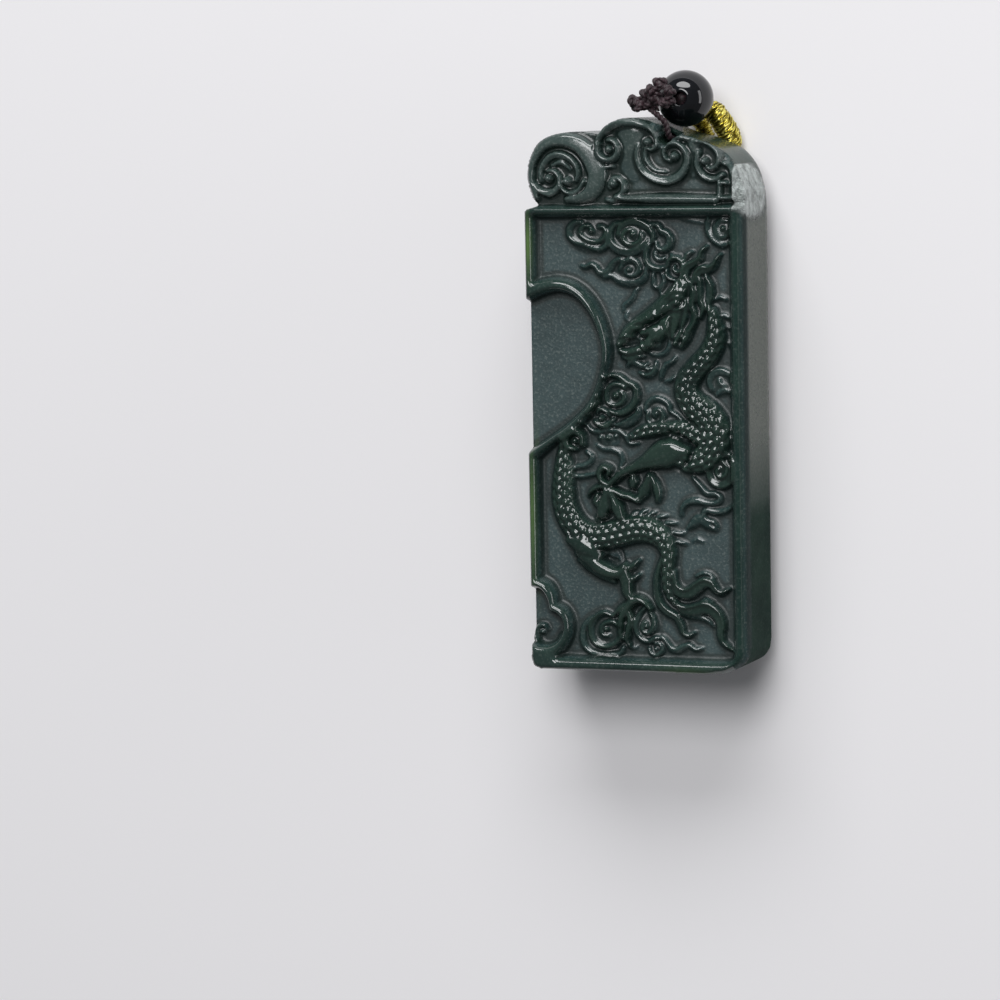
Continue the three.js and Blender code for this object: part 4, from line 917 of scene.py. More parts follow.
for points, width, height in [
    # cheek line, round the jaw and up behind it
    ([[15.8, 45.1], [16.3, 44.1], [17.1, 43.2], [18.3, 42.8], [19.4, 43.2], [20.0, 44.3], [19.9, 45.8],
      [19.8, 47.1], [20.1, 48.2]], [0.15, 0.22, 0.28, 0.3, 0.3, 0.28, 0.26, 0.22, 0.12],
      [0.3, 0.5, 0.6, 0.65, 0.65, 0.6, 0.5, 0.4, 0.2]),
    # jagged nose ridge
    ([[15.4, 47.0], [15.9, 47.5], [16.6, 47.55], [17.0, 48.0], [17.6, 47.9], [18.0, 48.5], [18.7, 48.3],
      [19.1, 49.0], [19.6, 49.6]], [0.16, 0.26, 0.28, 0.28, 0.28, 0.28, 0.28, 0.26, 0.14],
      [0.4, 0.7, 0.75, 0.8, 0.75, 0.8, 0.75, 0.7, 0.4]),
    # brow and forehead line
    ([[19.8, 50.7], [20.6, 51.3], [21.0, 52.1], [21.2, 52.8], [21.7, 53.5], [21.8, 54.2]],
     [0.16, 0.3, 0.34, 0.34, 0.3, 0.12], [0.5, 0.9, 1.0, 1.0, 0.8, 0.5]),
    ([[20.4, 49.2], [21.2, 49.05], [22.1, 49.3], [22.9, 50.0]], [0.12, 0.2, 0.22, 0.12],
     [0.3, 0.5, 0.55, 0.3]),
    ([[20.6, 50.6], [21.5, 50.9], [22.4, 50.7]], [0.1, 0.18, 0.1], [0.2, 0.4, 0.2]),
    # teeth and the inner mouth
    ([[16.5, 46.6], [17.2, 46.3], [17.9, 46.6], [18.5, 46.2], [19.0, 46.5]], [0.12, 0.2, 0.2, 0.2, 0.1],
     0.35),
    ([[17.0, 44.2], [17.8, 44.0], [18.6, 44.3], [18.8, 45.0]], [0.12, 0.2, 0.2, 0.1], 0.35),
    ([[17.2, 45.2], [17.9, 45.0], [18.5, 45.4]], [0.1, 0.18, 0.1], 0.3),
    # lips and nostril
    ([[12.7, 44.6], [12.8, 43.9], [13.2, 43.3], [14.0, 42.9]], [0.2, 0.35, 0.35, 0.2], 0.35),
    ([[13.1, 45.3], [13.8, 45.5], [14.5, 45.2], [15.3, 45.3], [16.0, 44.7], [16.4, 44.0]],
     [0.15, 0.25, 0.25, 0.24, 0.22, 0.12], 0.5),
    ([[14.6, 47.0], [15.2, 46.5], [16.0, 46.6], [16.6, 46.0]], [0.12, 0.2, 0.2, 0.1], 0.35),
]:
    swell(points, width, height, 0.6)
for u, v, r, h in [(21.45, 49.95, 0.42, 0.55), (13.9, 44.4, 0.5, 0.55), (13.3, 44.2, 0.3, 0.3),
                   (16.0, 45.7, 0.4, 0.35), (18.1, 48.9, 0.4, 0.3), (19.2, 47.6, 0.5, 0.3),
                   (15.6, 48.0, 0.3, 0.2)]:
    swell([[u, v], [u + 0.02, v]], r, h, 0.5)
for points, width, depth in [
    ([[15.3, 45.9], [16.4, 45.3], [17.3, 45.6]], 0.28, 0.5),
    ([[14.6, 44.1], [15.5, 44.2], [16.1, 43.6]], 0.24, 0.5),
    ([[20.2, 49.8], [20.7, 50.4], [21.0, 50.4]], 0.18, 0.4), ([[22.0, 50.2], [22.6, 50.6]], 0.16, 0.35),
    ([[16.9, 46.9], [18.2, 47.3], [19.4, 48.3]], 0.22, 0.4),
    ([[19.6, 45.2], [20.3, 46.6], [20.5, 48.0]], 0.2, 0.5), ([[14.9, 46.7], [15.8, 47.1]], 0.15, 0.3),
]:
    groove(points, width, depth)

# %% Beard, horns and mane
HAIR = [
    ([[13.9, 41.3], [14.4, 41.8], [15.3, 41.6], [16.1, 41.2], [16.9, 41.6]], [0.15, 0.4, 0.42, 0.36, 0.15],
     1.0, 1),
    ([[13.2, 42.6], [14.0, 42.3], [15.2, 42.5], [16.3, 42.7]], [0.2, 0.4, 0.4, 0.2], 1.0, 0),
    ([[15.6, 40.4], [16.4, 40.0], [17.4, 40.1], [18.0, 40.9], [18.1, 41.9]], [0.12, 0.34, 0.38, 0.36, 0.14],
     1.1, 1),
    ([[16.3, 41.2], [16.9, 40.8], [17.4, 41.1]], [0.1, 0.25, 0.12], 1.0, 0),
    ([[18.7, 39.6], [19.0, 40.6], [19.6, 41.5], [20.4, 41.9], [20.9, 42.6]], [0.2, 0.36, 0.34, 0.26, 0.08],
     0.9, 1),
    ([[19.3, 39.2], [20.2, 39.4], [20.9, 40.1]], [0.12, 0.26, 0.1], 0.7, 0),
    # whisker tuft and forehead curl
    ([[19.9, 54.6], [19.8, 53.9], [20.3, 53.3], [21.0, 53.1]], [0.2, 0.32, 0.3, 0.15], 1.2, -1),
    ([[19.9, 55.0], [20.2, 55.8], [21.1, 56.1], [21.9, 55.6], [22.0, 54.7], [21.4, 54.2], [20.8, 54.6],
      [21.0, 55.1]],
     [0.22, 0.32, 0.36, 0.36, 0.32, 0.28, 0.22, 0.14], 1.3, 1),
    ([[20.3, 56.7], [20.9, 56.3], [21.7, 56.4]], [0.15, 0.25, 0.12], 0.9, 0),
    ([[17.8, 54.1], [17.8, 53.2], [17.9, 52.3], [18.6, 52.1], [19.1, 52.7]], [0.15, 0.26, 0.28, 0.24, 0.1],
     0.9, 1),
    ([[19.0, 54.1], [19.4, 53.0], [18.9, 51.8], [19.0, 50.9]], [0.15, 0.3, 0.4, 0.2], 0.8, 0),
    # horns
    ([[22.2, 53.0], [22.5, 54.0], [22.9, 54.9], [23.8, 55.4], [24.6, 56.0], [24.9, 57.0], [25.6, 57.8]],
     [0.5, 0.58, 0.56, 0.5, 0.42, 0.3, 0.08], 1.6, 1),
    ([[22.1, 54.8], [22.4, 55.8], [22.8, 56.6], [23.6, 57.1]], [0.2, 0.34, 0.28, 0.08], 1.1, 1),
    ([[23.9, 53.0], [24.2, 53.9], [24.9, 54.5], [25.9, 54.6], [26.7, 55.2], [27.1, 56.1], [27.6, 56.7]],
     [0.45, 0.56, 0.6, 0.52, 0.42, 0.28, 0.08], 1.6, 1),
    # mane
    ([[22.6, 53.4], [23.3, 52.3], [23.5, 51.0], [23.3, 49.7], [23.7, 48.4], [23.5, 47.2], [22.7, 46.2],
      [22.2, 45.2]],
     [0.35, 0.45, 0.5, 0.5, 0.5, 0.48, 0.42, 0.3], 1.6, 1),
    ([[24.5, 53.2], [24.4, 51.8], [24.5, 50.4], [24.9, 49.2], [24.6, 47.9]], [0.4, 0.5, 0.52, 0.45, 0.15],
     1.5, 1),
    ([[25.4, 53.6], [25.9, 52.3], [25.9, 50.9], [25.6, 49.6], [25.9, 48.4]], [0.35, 0.55, 0.6, 0.5, 0.15],
     1.4, 1),
    ([[22.5, 50.4], [22.4, 49.0], [22.2, 47.7], [21.9, 46.7]], [0.3, 0.42, 0.42, 0.25], 1.4, 1),
    ([[21.3, 48.6], [21.1, 47.3], [20.7, 46.2], [20.5, 45.2]], [0.3, 0.42, 0.4, 0.25], 1.3, 1),
    ([[21.9, 46.3], [21.4, 45.3], [20.8, 44.3]], [0.3, 0.42, 0.3], 1.2, 0),
    ([[23.4, 46.5], [22.6, 45.0], [21.8, 43.9]], [0.3, 0.42, 0.3], 1.2, 0),
]
for points, width, height, lip in HAIR:
    raise_band(points, np.multiply(width, 1.15), height, lip, 0.6, shoulder=0.4)
for u, v, r in [(22.1, 44.9, 0.5), (21.2, 44.2, 0.5), (20.6, 51.6, 0.3), (21.6, 51.7, 0.35),
                (22.4, 51.6, 0.3)]:
    swell([[u, v], [u + 0.02, v]], r, 0.5, 0.5)

# the curl that the lower trunk comes out of
trunk([[7.3, 30.4], [7.0, 31.7], [5.9, 32.1], [5.0, 31.3], [5.2, 30.1], [6.2, 29.7]],
      [0.5, 0.7, 0.75, 0.75, 0.65, 0.4], [1.7, 2.0, 2.1, 2.1, 2.0, 1.7], False)
bead(6.35, 30.9, 0.5, 1.9)


# %% [markdown]
# ## Edges, shoulder and ledge
# The long edges were rounded last. Seen from a point on the face, the rounding is a limit on its
# height that falls as the outline comes near. Behind the front scrolls the head drops to a narrow
# ledge for the cord hole, and at the right it slopes away in a smooth shoulder.

# %% The outline, and the limits it sets
CREST = 1.4  # carving above this is drawn in, so that nothing stands over the frame, mm
REACH = 0.8
proud = face - ground - CREST
face = np.where(proud > 0, ground + CREST + REACH * (1 - np.exp(-np.maximum(proud, 0) / REACH)), face)
plaque_outline = np.vstack([
    catmull([[RIGHT, 2.6], [30.75, 1.2], [29.9, 0.0], [28.6, -0.7], [27.4, FOOT]])[:-1],
    catmull([[1.0, FOOT], [0.2, -0.8], [-0.25, -0.2], [LEFT, 0.8]])[:-1],
    [[LEFT, 62.6], [0.0, 62.95], [1.2, 63.3]],
    catmull([[1.35, 63.5], [0.5, 64.9], [0.0, 66.8], [0.1, 68.8], [0.6, 70.4], [1.7, 72.1], [3.6, 73.1],
             [6.4, 73.55], [8.6, 73.35], [10.4, 73.05]])[:-1],
    catmull([[10.4, 73.05], [12.0, 74.6], [14.4, CROWN], [16.8, 75.1], [18.0, 74.6], [19.6, 73.8],
             [21.2, 73.2], [24.2, 72.4], [27.6, 70.9], [29.6, 68.7], [30.65, 66.0], [30.95, 63.6],
             [RIGHT, 61.8]])[:-1],
])
from_edge = -depth_in(plaque_outline)
fall = np.interp(U, [25.0, 29.0], [0.7, 2.5])  # how far the edge falls, less at the left than at the right
roll = np.interp(U, [25.0, 29.0], [0.7, 1.45])
face = np.minimum(face, THICKNESS - fall * (1 - quarter(from_edge / roll)))

# %% The shoulder and the ledge
front_edge = catmull([[10, 79], [18.6, 74.4], [18.85, 72.9], [19.3, 72.1], [20.4, 72.9], [22.2, 73.15],
                      [24.3, 72.7], [26.6, 71.75], [28.2, 70.5], [29.3, 69.4], [30.0, 68.0], [30.25, 65.5],
                      [30.3, 62.9], [40, 62.7]])
behind = np.vstack([front_edge, [[40, 90], [10, 90]]])
past = np.maximum(-depth_in(behind), 0)
SHOULDER_DROP = 1.2  # step down from the front scrolls, mm
SHOULDER_FALL = 1.0  # how steeply it slopes away beyond
shoulder = THICKNESS - SHOULDER_DROP - SHOULDER_FALL * past
face = np.where(past > 0.02, np.minimum(face, shoulder + SHOULDER_DROP * np.exp(-past / 0.12)), face)
ledge = np.array([[16.9, 79], [18.4, 74.3], [18.75, 72.6], [19.1, 71.5], [20.1, 71.4], [20.9, 72.4],
                  [22.3, 72.95], [23.6, 72.9], [24.2, 79]])
in_ledge = np.maximum(-depth_in(ledge), 0)
LEDGE_HEIGHT = 7.6
face = np.where(in_ledge > 0,
                np.minimum(face, THICKNESS - (THICKNESS - LEDGE_HEIGHT) * np.clip(in_ledge / 0.35, 0, 1)),
                face)


# %% A last rub with the polishing stick
def rub(heights, rounds):
    """Each round takes the sharpness off every edge by about a tenth of a millimetre."""
    for _ in range(rounds):
        h = np.pad(heights, 1, mode="edge")
        h = (h[:-2] + 2 * h[1:-1] + h[2:]) / 4
        heights = (h[:, :-2] + 2 * h[:, 1:-1] + h[:, 2:]) / 4
    return heights


face = rub(face, 1)
print("face heights", round(float(face.min()), 2), "to", round(float(face.max()), 2), "mm")


# %% [markdown]
# ## The stone
# The field of heights becomes the front of one closed mesh. A grid is made, cut along the
# outline, and its rim is drawn down the sides in a few steps, rounded under at the back and
# closed there, all round the hole for the cord as well. The polish is worked out from the same
# heights, because a polishing stick reaches the crests and hardly touches the sunk ground. Seven
# numbers at every vertex carry this to the finish, together with where shade, sheen, glow and
# reflection are painted into the colour, and each face says which finish it has.

# %% How polished each place is, and where shade, sheen, glow and reflection are painted
soft = rub(face, 14)
ridge = np.clip((face - soft) / 0.10, 0, 1)
# concave places: rougher in the head, and given painted shade in the colour
hollow = np.clip((soft - face - 0.01) / 0.08, 0, 1)
above = np.clip((face - ground) / 0.9, 0, 1)
in_head = np.clip((V - 63.3) / 0.3, 0, 1) * (past <= 0)
on_frame = np.clip((face - (THICKNESS - 1.5)) / 1.0, 0, 1) * (1 - in_head)
polish = 0.12 + (0.5 - 0.2 * in_head) * above + 0.45 * ridge + 0.25 * hollow * in_head + 0.75 * on_frame
polish = np.where(past > 0, 0.75, np.clip(polish, 0, 1))
# dark green of the polished forms and the frame, plus painted shade in the hollows
dark_green_and_shade = np.clip((1 - in_head) * (0.75 * above + 0.8 * on_frame) + 0.9 * hollow * (0.35 + 0.65 * in_head), 0, 1)
dark_green_and_shade = np.where(past > 0, 1.0, dark_green_and_shade)
# grey on the raised tops of the head: a frosted finish with a painted sheen
frosted_tops_and_sheen = in_head * (1 - hollow) * np.clip(above + 0.3, 0, 1)
# painted glow: leaf green along the left edge and at the foot, as if light came through
near_left = np.exp(-(((U - 0.15) / 0.35) ** 2))
painted_glow = near_left * (np.exp(-(((V - 58.0) / 3.5) ** 2)) + 0.7 * np.exp(-(((V - 20.5) / 8.0) ** 2)))
painted_glow += 0.35 * np.exp(-(((U - 22.0) / 3.5) ** 2) - ((V - FOOT) / 0.7) ** 2)
FROST = (61.6, 69.2)  # from where to where along the right side the stone was left rough, mm
FROST_HEIGHT = 7.4  # of the middle of the rough patch, and half of its height
FROST_HALF = 6.4
RIGHT_FACE = 29.5  # places beyond it belong to the right side


def frost_and_reflection_at(u, v, z):
    """How rough the unpolished patch on the right shoulder is at a place; the same share paints it whitish,
    partly a frosted finish and partly painted reflection.
    """
    middle, half = sum(FROST) / 2, (FROST[1] - FROST[0]) / 2
    x = np.hypot((v - middle) / half, (z - FROST_HEIGHT) / FROST_HALF)
    return np.clip((1.15 - x) / 0.2, 0, 1) * (u > RIGHT_FACE)


def side_reflection_at(u, v, z):
    """Painted reflection: the right side is painted paler olive above the middle, below the bevel."""
    share = np.interp(v, [22.0, 33.0, 60.0, 63.0], [0.0, 1.0, 1.0, 0.0]) * np.interp(z, [9.6, 10.5],
                                                                                     [1.0, 0.0])
    return share * (u > 29.0)


def dull_at(u, v):
    """The lower half of the sides was never polished."""
    return np.interp(v, [20.0, 34.0], [1.0, 0.0]) if u > 1.0 else 0.3


print("polished share", round(float(polish.mean()), 2))

# %% The front, cut along the outline
# what the finish of the jade reads from the mesh
STONE_LAYERS = ("polish", "painted_glow", "frost_and_reflection", "dark_green_and_shade", "painted_side_reflection", "frosted_tops_and_sheen", "painted_crevice_shade")
SIDE_STEPS = 9
SIDE_POLISH = 0.62  # at its best, where the side was rubbed
EDGE_ROUND = 0.6  # at the back, mm
HOLE_ROUND = 0.15
CORNER_ROUNDS = 12  # how often the ways inwards are mixed with their neighbours'
LEAST_ROOM = 0.35  # share of the rounding that is left beside the hole
SPINE_U = 15.3  # the rim faces away from this line down the middle of the back
SPINE = (20.0, 60.0)
HOLE = (19.6, 72.4)
HOLE_RADIUS = 0.75
closed_outline = np.vstack([plaque_outline, plaque_outline[:1]])


def onto(line, u, v):
    """The nearest place on a line."""
    a, b = line[:-1], line[1:]
    ab = b - a
    t = np.clip(((u - a[:, 0]) * ab[:, 0] + (v - a[:, 1]) * ab[:, 1]) / np.maximum((ab**2).sum(1), 1e-12),
                0, 1)
    p = a + t[:, None] * ab
    return p[np.argmin((p[:, 0] - u) ** 2 + (p[:, 1] - v) ** 2)]


def front_of_stone():
    bm = bmesh.new()
    bmesh.ops.create_grid(bm, x_segments=columns - 1, y_segments=rows - 1, size=0.5)
    layers = {name: bm.verts.layers.float.new(name) for name in STONE_LAYERS}
    fields = {"polish": polish, "painted_glow": painted_glow, "dark_green_and_shade": dark_green_and_shade, "frosted_tops_and_sheen": frosted_tops_and_sheen, "painted_crevice_shade": hollow}
    outside = []
    from_hole = np.hypot(U - HOLE[0], V - HOLE[1]) - HOLE_RADIUS
    keep = np.minimum(from_edge, from_hole)
    for v in bm.verts:
        j = int(round((v.co.x + 0.5) * (columns - 1)))
        i = int(round((v.co.y + 0.5) * (rows - 1)))
        v.co = (grid_u[j], grid_v[i], face[i, j])
        for name, field in fields.items():
            v[layers[name]] = field[i, j]
        v[layers["frost_and_reflection"]] = float(frost_and_reflection_at(*v.co))
        if keep[i, j] < -0.3 * PITCH:
            outside.append(v)
    bmesh.ops.delete(bm, geom=outside, context="VERTS")
    loose = [v for v in bm.verts if not v.link_faces]
    bmesh.ops.delete(bm, geom=loose, context="VERTS")
    for v in bm.verts:
        if not v.is_boundary:
            continue
        du, dv = v.co.x - HOLE[0], v.co.y - HOLE[1]
        if math.hypot(du, dv) < HOLE_RADIUS + 1.5 * PITCH:
            k = HOLE_RADIUS / math.hypot(du, dv)
            v.co.x, v.co.y = HOLE[0] + du * k, HOLE[1] + dv * k
        else:
            v.co.x, v.co.y = onto(closed_outline, v.co.x, v.co.y)
    for f in bm.faces:
        middle = f.calc_center_median()
        j = int(np.argmin(np.abs(grid_u - middle.x)))
        i = int(np.argmin(np.abs(grid_v - middle.y)))
        sawn = past[i, j] > 0.1 or (from_edge[i, j] < 1.25 and middle.x > 29)
        f.material_index = int(sawn and frost_and_reflection_at(*middle) < 0.5)
    return bm


stone = front_of_stone()
print("front faces", len(stone.faces))


# %% Sides and back
def close_stone(bm):
    """Draws the rim and the hole down to the back and closes it."""
    front = set(bm.faces)
    edges = [e for e in bm.edges if e.is_boundary]
    rim = set(edges)
    start = {}
    for e in edges:
        for v in e.verts:
            start[v] = v.co.copy()
    at_hole = {v: math.hypot(p.x - HOLE[0], p.y - HOLE[1]) < 1.5 * HOLE_RADIUS for v, p in start.items()}
    inwards = {}
    rounding = {}
    for v, p in start.items():
        near = [e.other_vert(v).co for e in v.link_edges if e.is_boundary]
        run = near[0] - near[-1]
        across = Vector((-run.y, run.x, 0))
        across = across.normalized() if across.length > 0 else Vector((0, 1, 0))
        if at_hole[v]:
            middle = Vector((HOLE[0], HOLE[1], 0))
        else:
            middle = Vector((SPINE_U, min(max(p.y, SPINE[0]), SPINE[1]), 0))
        towards = across.dot(Vector((middle.x - p.x, middle.y - p.y, 0)))
        inwards[v] = across if (towards > 0) != at_hole[v] else -across
        # the back's rounding is narrower beside the hole, so that the two never meet
        room = (math.hypot(p.x - HOLE[0], p.y - HOLE[1]) - 1.0) / 2.0
        rounding[v] = HOLE_ROUND if at_hole[v] else EDGE_ROUND * min(max(room, LEAST_ROOM), 1.0)
    # the ways inwards turn gently round a corner, so that neighbours never cross
    for _ in range(CORNER_ROUNDS):
        mixed = {}
        for v, own in inwards.items():
            near = [e.other_vert(v) for e in v.link_edges if e in rim]
            mixed[v] = (own + inwards[near[0]] + inwards[near[-1]]).normalized()
        inwards = mixed
    steps = [(0.0, k / SIDE_STEPS) for k in range(1, SIDE_STEPS + 1)]
    corner = [(1 - math.cos(a), math.sin(a)) for a in np.linspace(0, math.pi / 2, 4)[1:]]
    layers = {name: bm.verts.layers.float[name] for name in STONE_LAYERS}
    origin = {v: v for v in start}
    for inset, share in steps + corner:
        last = inset > 0
        made = set(bmesh.ops.extrude_edge_only(bm, edges=edges)["geom"])
        above = {}
        for v in origin:
            above[v] = next(e.other_vert(v) for e in v.link_edges if e.other_vert(v) in made)
        origin = {above[v]: first for v, first in origin.items()}
        for v, first in origin.items():
            p = start[first]
            low = rounding[first]
            z = low * (1 - share) if last else p.z + (low - p.z) * share
            pull = inwards[first] * (low * inset)
            v.co = (p.x + pull.x, p.y + pull.y, z)
            # the sides: dark green, a painted reflection on the upper right, and the rough patch
            side = {"frost_and_reflection": float(frost_and_reflection_at(*v.co)), "dark_green_and_shade": 1.0, "painted_side_reflection": side_reflection_at(p.x, p.y, z),
                    "polish": SIDE_POLISH * (1 - dull_at(p.x, p.y))}
            for name, layer in layers.items():
                v[layer] = side.get(name, 0.0)
        edges = [e for e in made if isinstance(e, bmesh.types.BMEdge) and e.is_boundary]
    bmesh.ops.triangle_fill(bm, edges=edges, use_beauty=True)
    for f in bm.faces:
        if f not in front:
            f.material_index = int(frost_and_reflection_at(*f.calc_center_median()) < 0.5)
    for v in bm.verts:
        v.co = at(*v.co)
    return closed_faces(bm)


close_stone(stone)
print("stone triangles", sum(len(f.verts) - 2 for f in stone.faces),
      "open edges", sum(e.is_boundary for e in stone.edges))


# %% [markdown]
# ## Jade
# Nephrite is a felt of fine fibres: it never looks like glass. Sunk ground is left matte and
# shows grey-green with small pale specks, and rubbed crests turn dark, bluish and glossy. Light
# and shade are painted into the colour as well: painted shade darkens the hollows, a painted sheen
# greys the raised tops of the head, a painted glow turns the left edge and the foot leaf green, and
# a painted reflection lightens the upper right side and its rough patch. One shader does all of
# it: the polish, the painted shade and the sheen come from the carving, the glow and the reflection
# from places given along the edges, and the specks from noise in the stone. It is made twice. The
# carved front has the full gloss, and the sawn sides, the back and the shoulder behind the head
# were never polished as far, so their gloss is weaker.

# %% The finish of the jade
CARVED_GLOSS = 0.5  # specular levels
SAWN_GLOSS = 0.06


def jade_finish(name, gloss):
    jade = Finish(name, IOR=1.60, Specular_IOR_Level=gloss)
    polished = jade.attribute("polish")
    painted_glow_share = jade.attribute("painted_glow")
    frost_and_reflection_share = jade.attribute("frost_and_reflection")
    where = jade.place()
    cloud = jade.noise(where, 160.0, 4.0, 0.6)
    mottle = jade.noise(where, 750.0, 4.0, 0.7)
    fibre = jade.noise(where, 1400.0, 3.0, 0.65)
    speck = jade.noise(where, 2600.0, 2.0, 0.6)
    matte = jade.ramp(cloud, (0.30, (0.020, 0.043, 0.044)), (0.55, (0.031, 0.060, 0.062)),
                      (0.75, (0.046, 0.078, 0.079)))
    matte = jade.mix(jade.ramp(mottle, (0.35, 0.0), (0.70, 0.7)),
                     jade.mix(0.35, matte, (0.012, 0.022, 0.024)), matte)
    green = jade.ramp(cloud, (0.30, (0.008, 0.020, 0.016)), (0.70, (0.019, 0.040, 0.030)))
    # dark green on polished forms, and painted shade in the hollows
    colour = jade.mix(jade.attribute("dark_green_and_shade"), matte, green)
    # painted sheen: grey on the raised tops of the head, over a frosted finish
    colour = jade.mix(jade.maths("MULTIPLY", jade.attribute("frosted_tops_and_sheen"), 0.5), colour, (0.056, 0.074, 0.062))
    # painted reflection: paler olive on the upper right side
    sides = jade.maths("MULTIPLY", jade.attribute("painted_side_reflection"), jade.ramp(speck, (0.36, 0.35), (0.50, 1.0)))
    colour = jade.mix(sides, colour, (0.066, 0.078, 0.062))
    pale = jade.ramp(speck, (0.52, 0.0), (0.68, 1.0))
    pale = jade.maths("MULTIPLY", pale, jade.maths("MULTIPLY_ADD", jade.attribute("dark_green_and_shade"), -0.30, 0.38))
    colour = jade.mix(pale, colour, (0.16, 0.19, 0.175))
    # painted shade: near black in the crevices
    colour = jade.mix(jade.maths("MULTIPLY", jade.attribute("painted_crevice_shade"), 0.65), colour, (0.003, 0.008, 0.007))
    # painted glow: leaf green where light seems to come through the stone
    colour = jade.mix(jade.maths("MULTIPLY", painted_glow_share, 0.75), colour, (0.11, 0.20, 0.050))
    # the rough patch painted whitish: a frosted finish and a painted reflection
    colour = jade.mix(jade.maths("MULTIPLY", frost_and_reflection_share, jade.ramp(mottle, (0.35, 0.25), (0.65, 1.0))), colour,
                      (0.60, 0.66, 0.64))
    roughness = jade.ramp(polished, (0.0, 0.85), (0.12, 0.48), (0.5, 0.24), (0.9, 0.09))
    roughness = jade.maths("MAXIMUM", roughness, jade.maths("MULTIPLY", frost_and_reflection_share, 0.34))
    uneven = jade.maths("MULTIPLY_ADD", fibre, 0.14, -0.07)
    jade.set(Base_Color=colour, Roughness=jade.maths("ADD", roughness, uneven))
    broken = jade.bump(jade.maths("MULTIPLY", jade.noise(where, 900.0, 4.0, 0.75), frost_and_reflection_share), 0.0014, 1.0)
    lapped = jade.bump(mottle, 0.00010, 0.25, over=broken)
    unpolished = jade.maths("MULTIPLY_ADD", polished, -0.9, 1.0)
    grain = jade.bump(jade.maths("MULTIPLY", fibre, unpolished), 0.00009, 0.45, over=lapped)
    pits = jade.bump(jade.maths("MULTIPLY", speck, unpolished), 0.00007, 0.45, over=grain)
    return jade.set(Normal=pits)


stone_piece = piece("carved_stone", stone, jade_finish("carved_jade", CARVED_GLOSS), replaces=["jade_plaque"])
stone_piece.data.materials.append(jade_finish("sawn_jade", SAWN_GLOSS))
print("sawn faces", sum(p.material_index == 1 for p in stone_piece.data.polygons))


# %% [markdown]
# ## The bead
# A round black bead holds the knots together. It was turned and drilled, so its half section is
# spun round its own axis: up the bore, over a small worn edge at its mouth, round the ball and
# down to the other mouth. The spin closes on itself, which leaves a ball with a true hole.

# %% The bead
BEAD_RADIUS = 3.9
BEAD_BORE = 0.9
BEAD_WEAR = 0.22  # worn edge at each mouth of the bore
BEAD_CENTRE = (20.86, 77.85, 5.1)
BEAD_AXIS = (0.09, 0.01, 1.0)


def drilled_bead():
    bm = bmesh.new()
    mouth = math.asin((BEAD_BORE + BEAD_WEAR) / BEAD_RADIUS)
    half = [(BEAD_RADIUS * math.sin(a), BEAD_RADIUS * math.cos(a)) for a
            in np.linspace(mouth, math.pi - mouth, 40)]
    depth = half[0][1] - BEAD_WEAR
    bore = [(BEAD_BORE, z) for z in np.linspace(-depth, depth, 9)]
    worn = (BEAD_BORE + 0.3 * BEAD_WEAR, depth + 0.7 * BEAD_WEAR)
    section = bore + [worn] + half + [(worn[0], -worn[1])]
    verts = [bm.verts.new((x * MM, 0, z * MM)) for x, z in section]
    edges = [bm.edges.new((a, b)) for a, b in zip(verts, verts[1:] + verts[:1])]
    bmesh.ops.spin(bm, geom=verts + edges, cent=(0, 0, 0), axis=(0, 0, 1), angle=2 * math.pi, steps=72,
                   use_merge=True)
    turn = Vector(BEAD_AXIS).to_track_quat("Z", "Y").to_matrix().to_4x4()
    bmesh.ops.transform(bm, matrix=Matrix.Translation(at(*BEAD_CENTRE)) @ turn, verts=bm.verts[:])
    return closed_faces(bm)


def onyx_finish():
    onyx = Finish("black_onyx", IOR=1.54, Roughness=0.04)
    cloud = onyx.noise(onyx.place(), 260.0, 3.0)
    onyx.set(Base_Color=onyx.ramp(cloud, (0.35, (0.0025, 0.0028, 0.0035)), (0.70, (0.006, 0.007, 0.009))))
    scratches = onyx.noise(onyx.place((1, 0.2, 1)), 900.0, 4.0)
    return onyx.set(Normal=onyx.bump(scratches, 0.000004, 0.4))


bead_piece = piece("drilled_bead", drilled_bead(), onyx_finish(), replaces=["onyx_bead"])
print("bead faces", len(bead_piece.data.polygons))


# %% [markdown]
# ## Thread
# The brown thread is two plies twisted together, and it catches the light in a row of small
# slanting grains. A braid painted on a smooth tube would be flat at this size, so each ply is a
# tube of its own that winds round the thread's line, and only the fibres in it are a bump.

# %% Two plies twisted together
PLY = 0.26  # radius of one ply, mm
TWIST = 1.35  # along the thread for one turn


def twisted(bm, points, radius=THREAD / 2, step=0.25, phase=0.0):
    """A two-ply thread along a smooth line through the points."""
    line = smooth_line(points, step)
    for k in range(2):
        ply = helix(line, radius - PLY, TWIST, phase + math.pi * k, 10)
        tube(bm, ply, PLY, 7)


def thread_finish(name, light, dark):
    thread = Finish(name, Roughness=0.5, Sheen_Weight=0.08, Sheen_Roughness=0.4)
    around = thread.place((3.0, 0.25, 1.0), "UV")
    fibre = thread.noise(around, 9.0, 3.0, 0.6)
    patch = thread.noise(thread.place(), 700.0, 2.0)
    colour = thread.mix(thread.ramp(fibre, (0.42, 0.0), (0.72, 1.0)), dark, light)
    colour = thread.mix(thread.ramp(patch, (0.45, 0.0), (0.75, 0.6)), colour, dark)
    thread.set(Base_Color=colour)
    return thread.set(Normal=thread.bump(fibre, 0.00006, 0.9))


brown_thread = thread_finish("brown_thread", (0.075, 0.028, 0.040), (0.004, 0.002, 0.003))
print("thread", THREAD, "mm of plies", 2 * PLY, "mm")

# %% [markdown]
# ## Knots and loop
# The thread goes through the stone's hole from the front, round the top edge and back, and its
# ends are tied in a cluster of small overhand knots that lies against the bead. A tight overhand
# knot is a trefoil, so each knot is a trefoil of the same thread, turned its own way, and short
# lengths of thread join them.

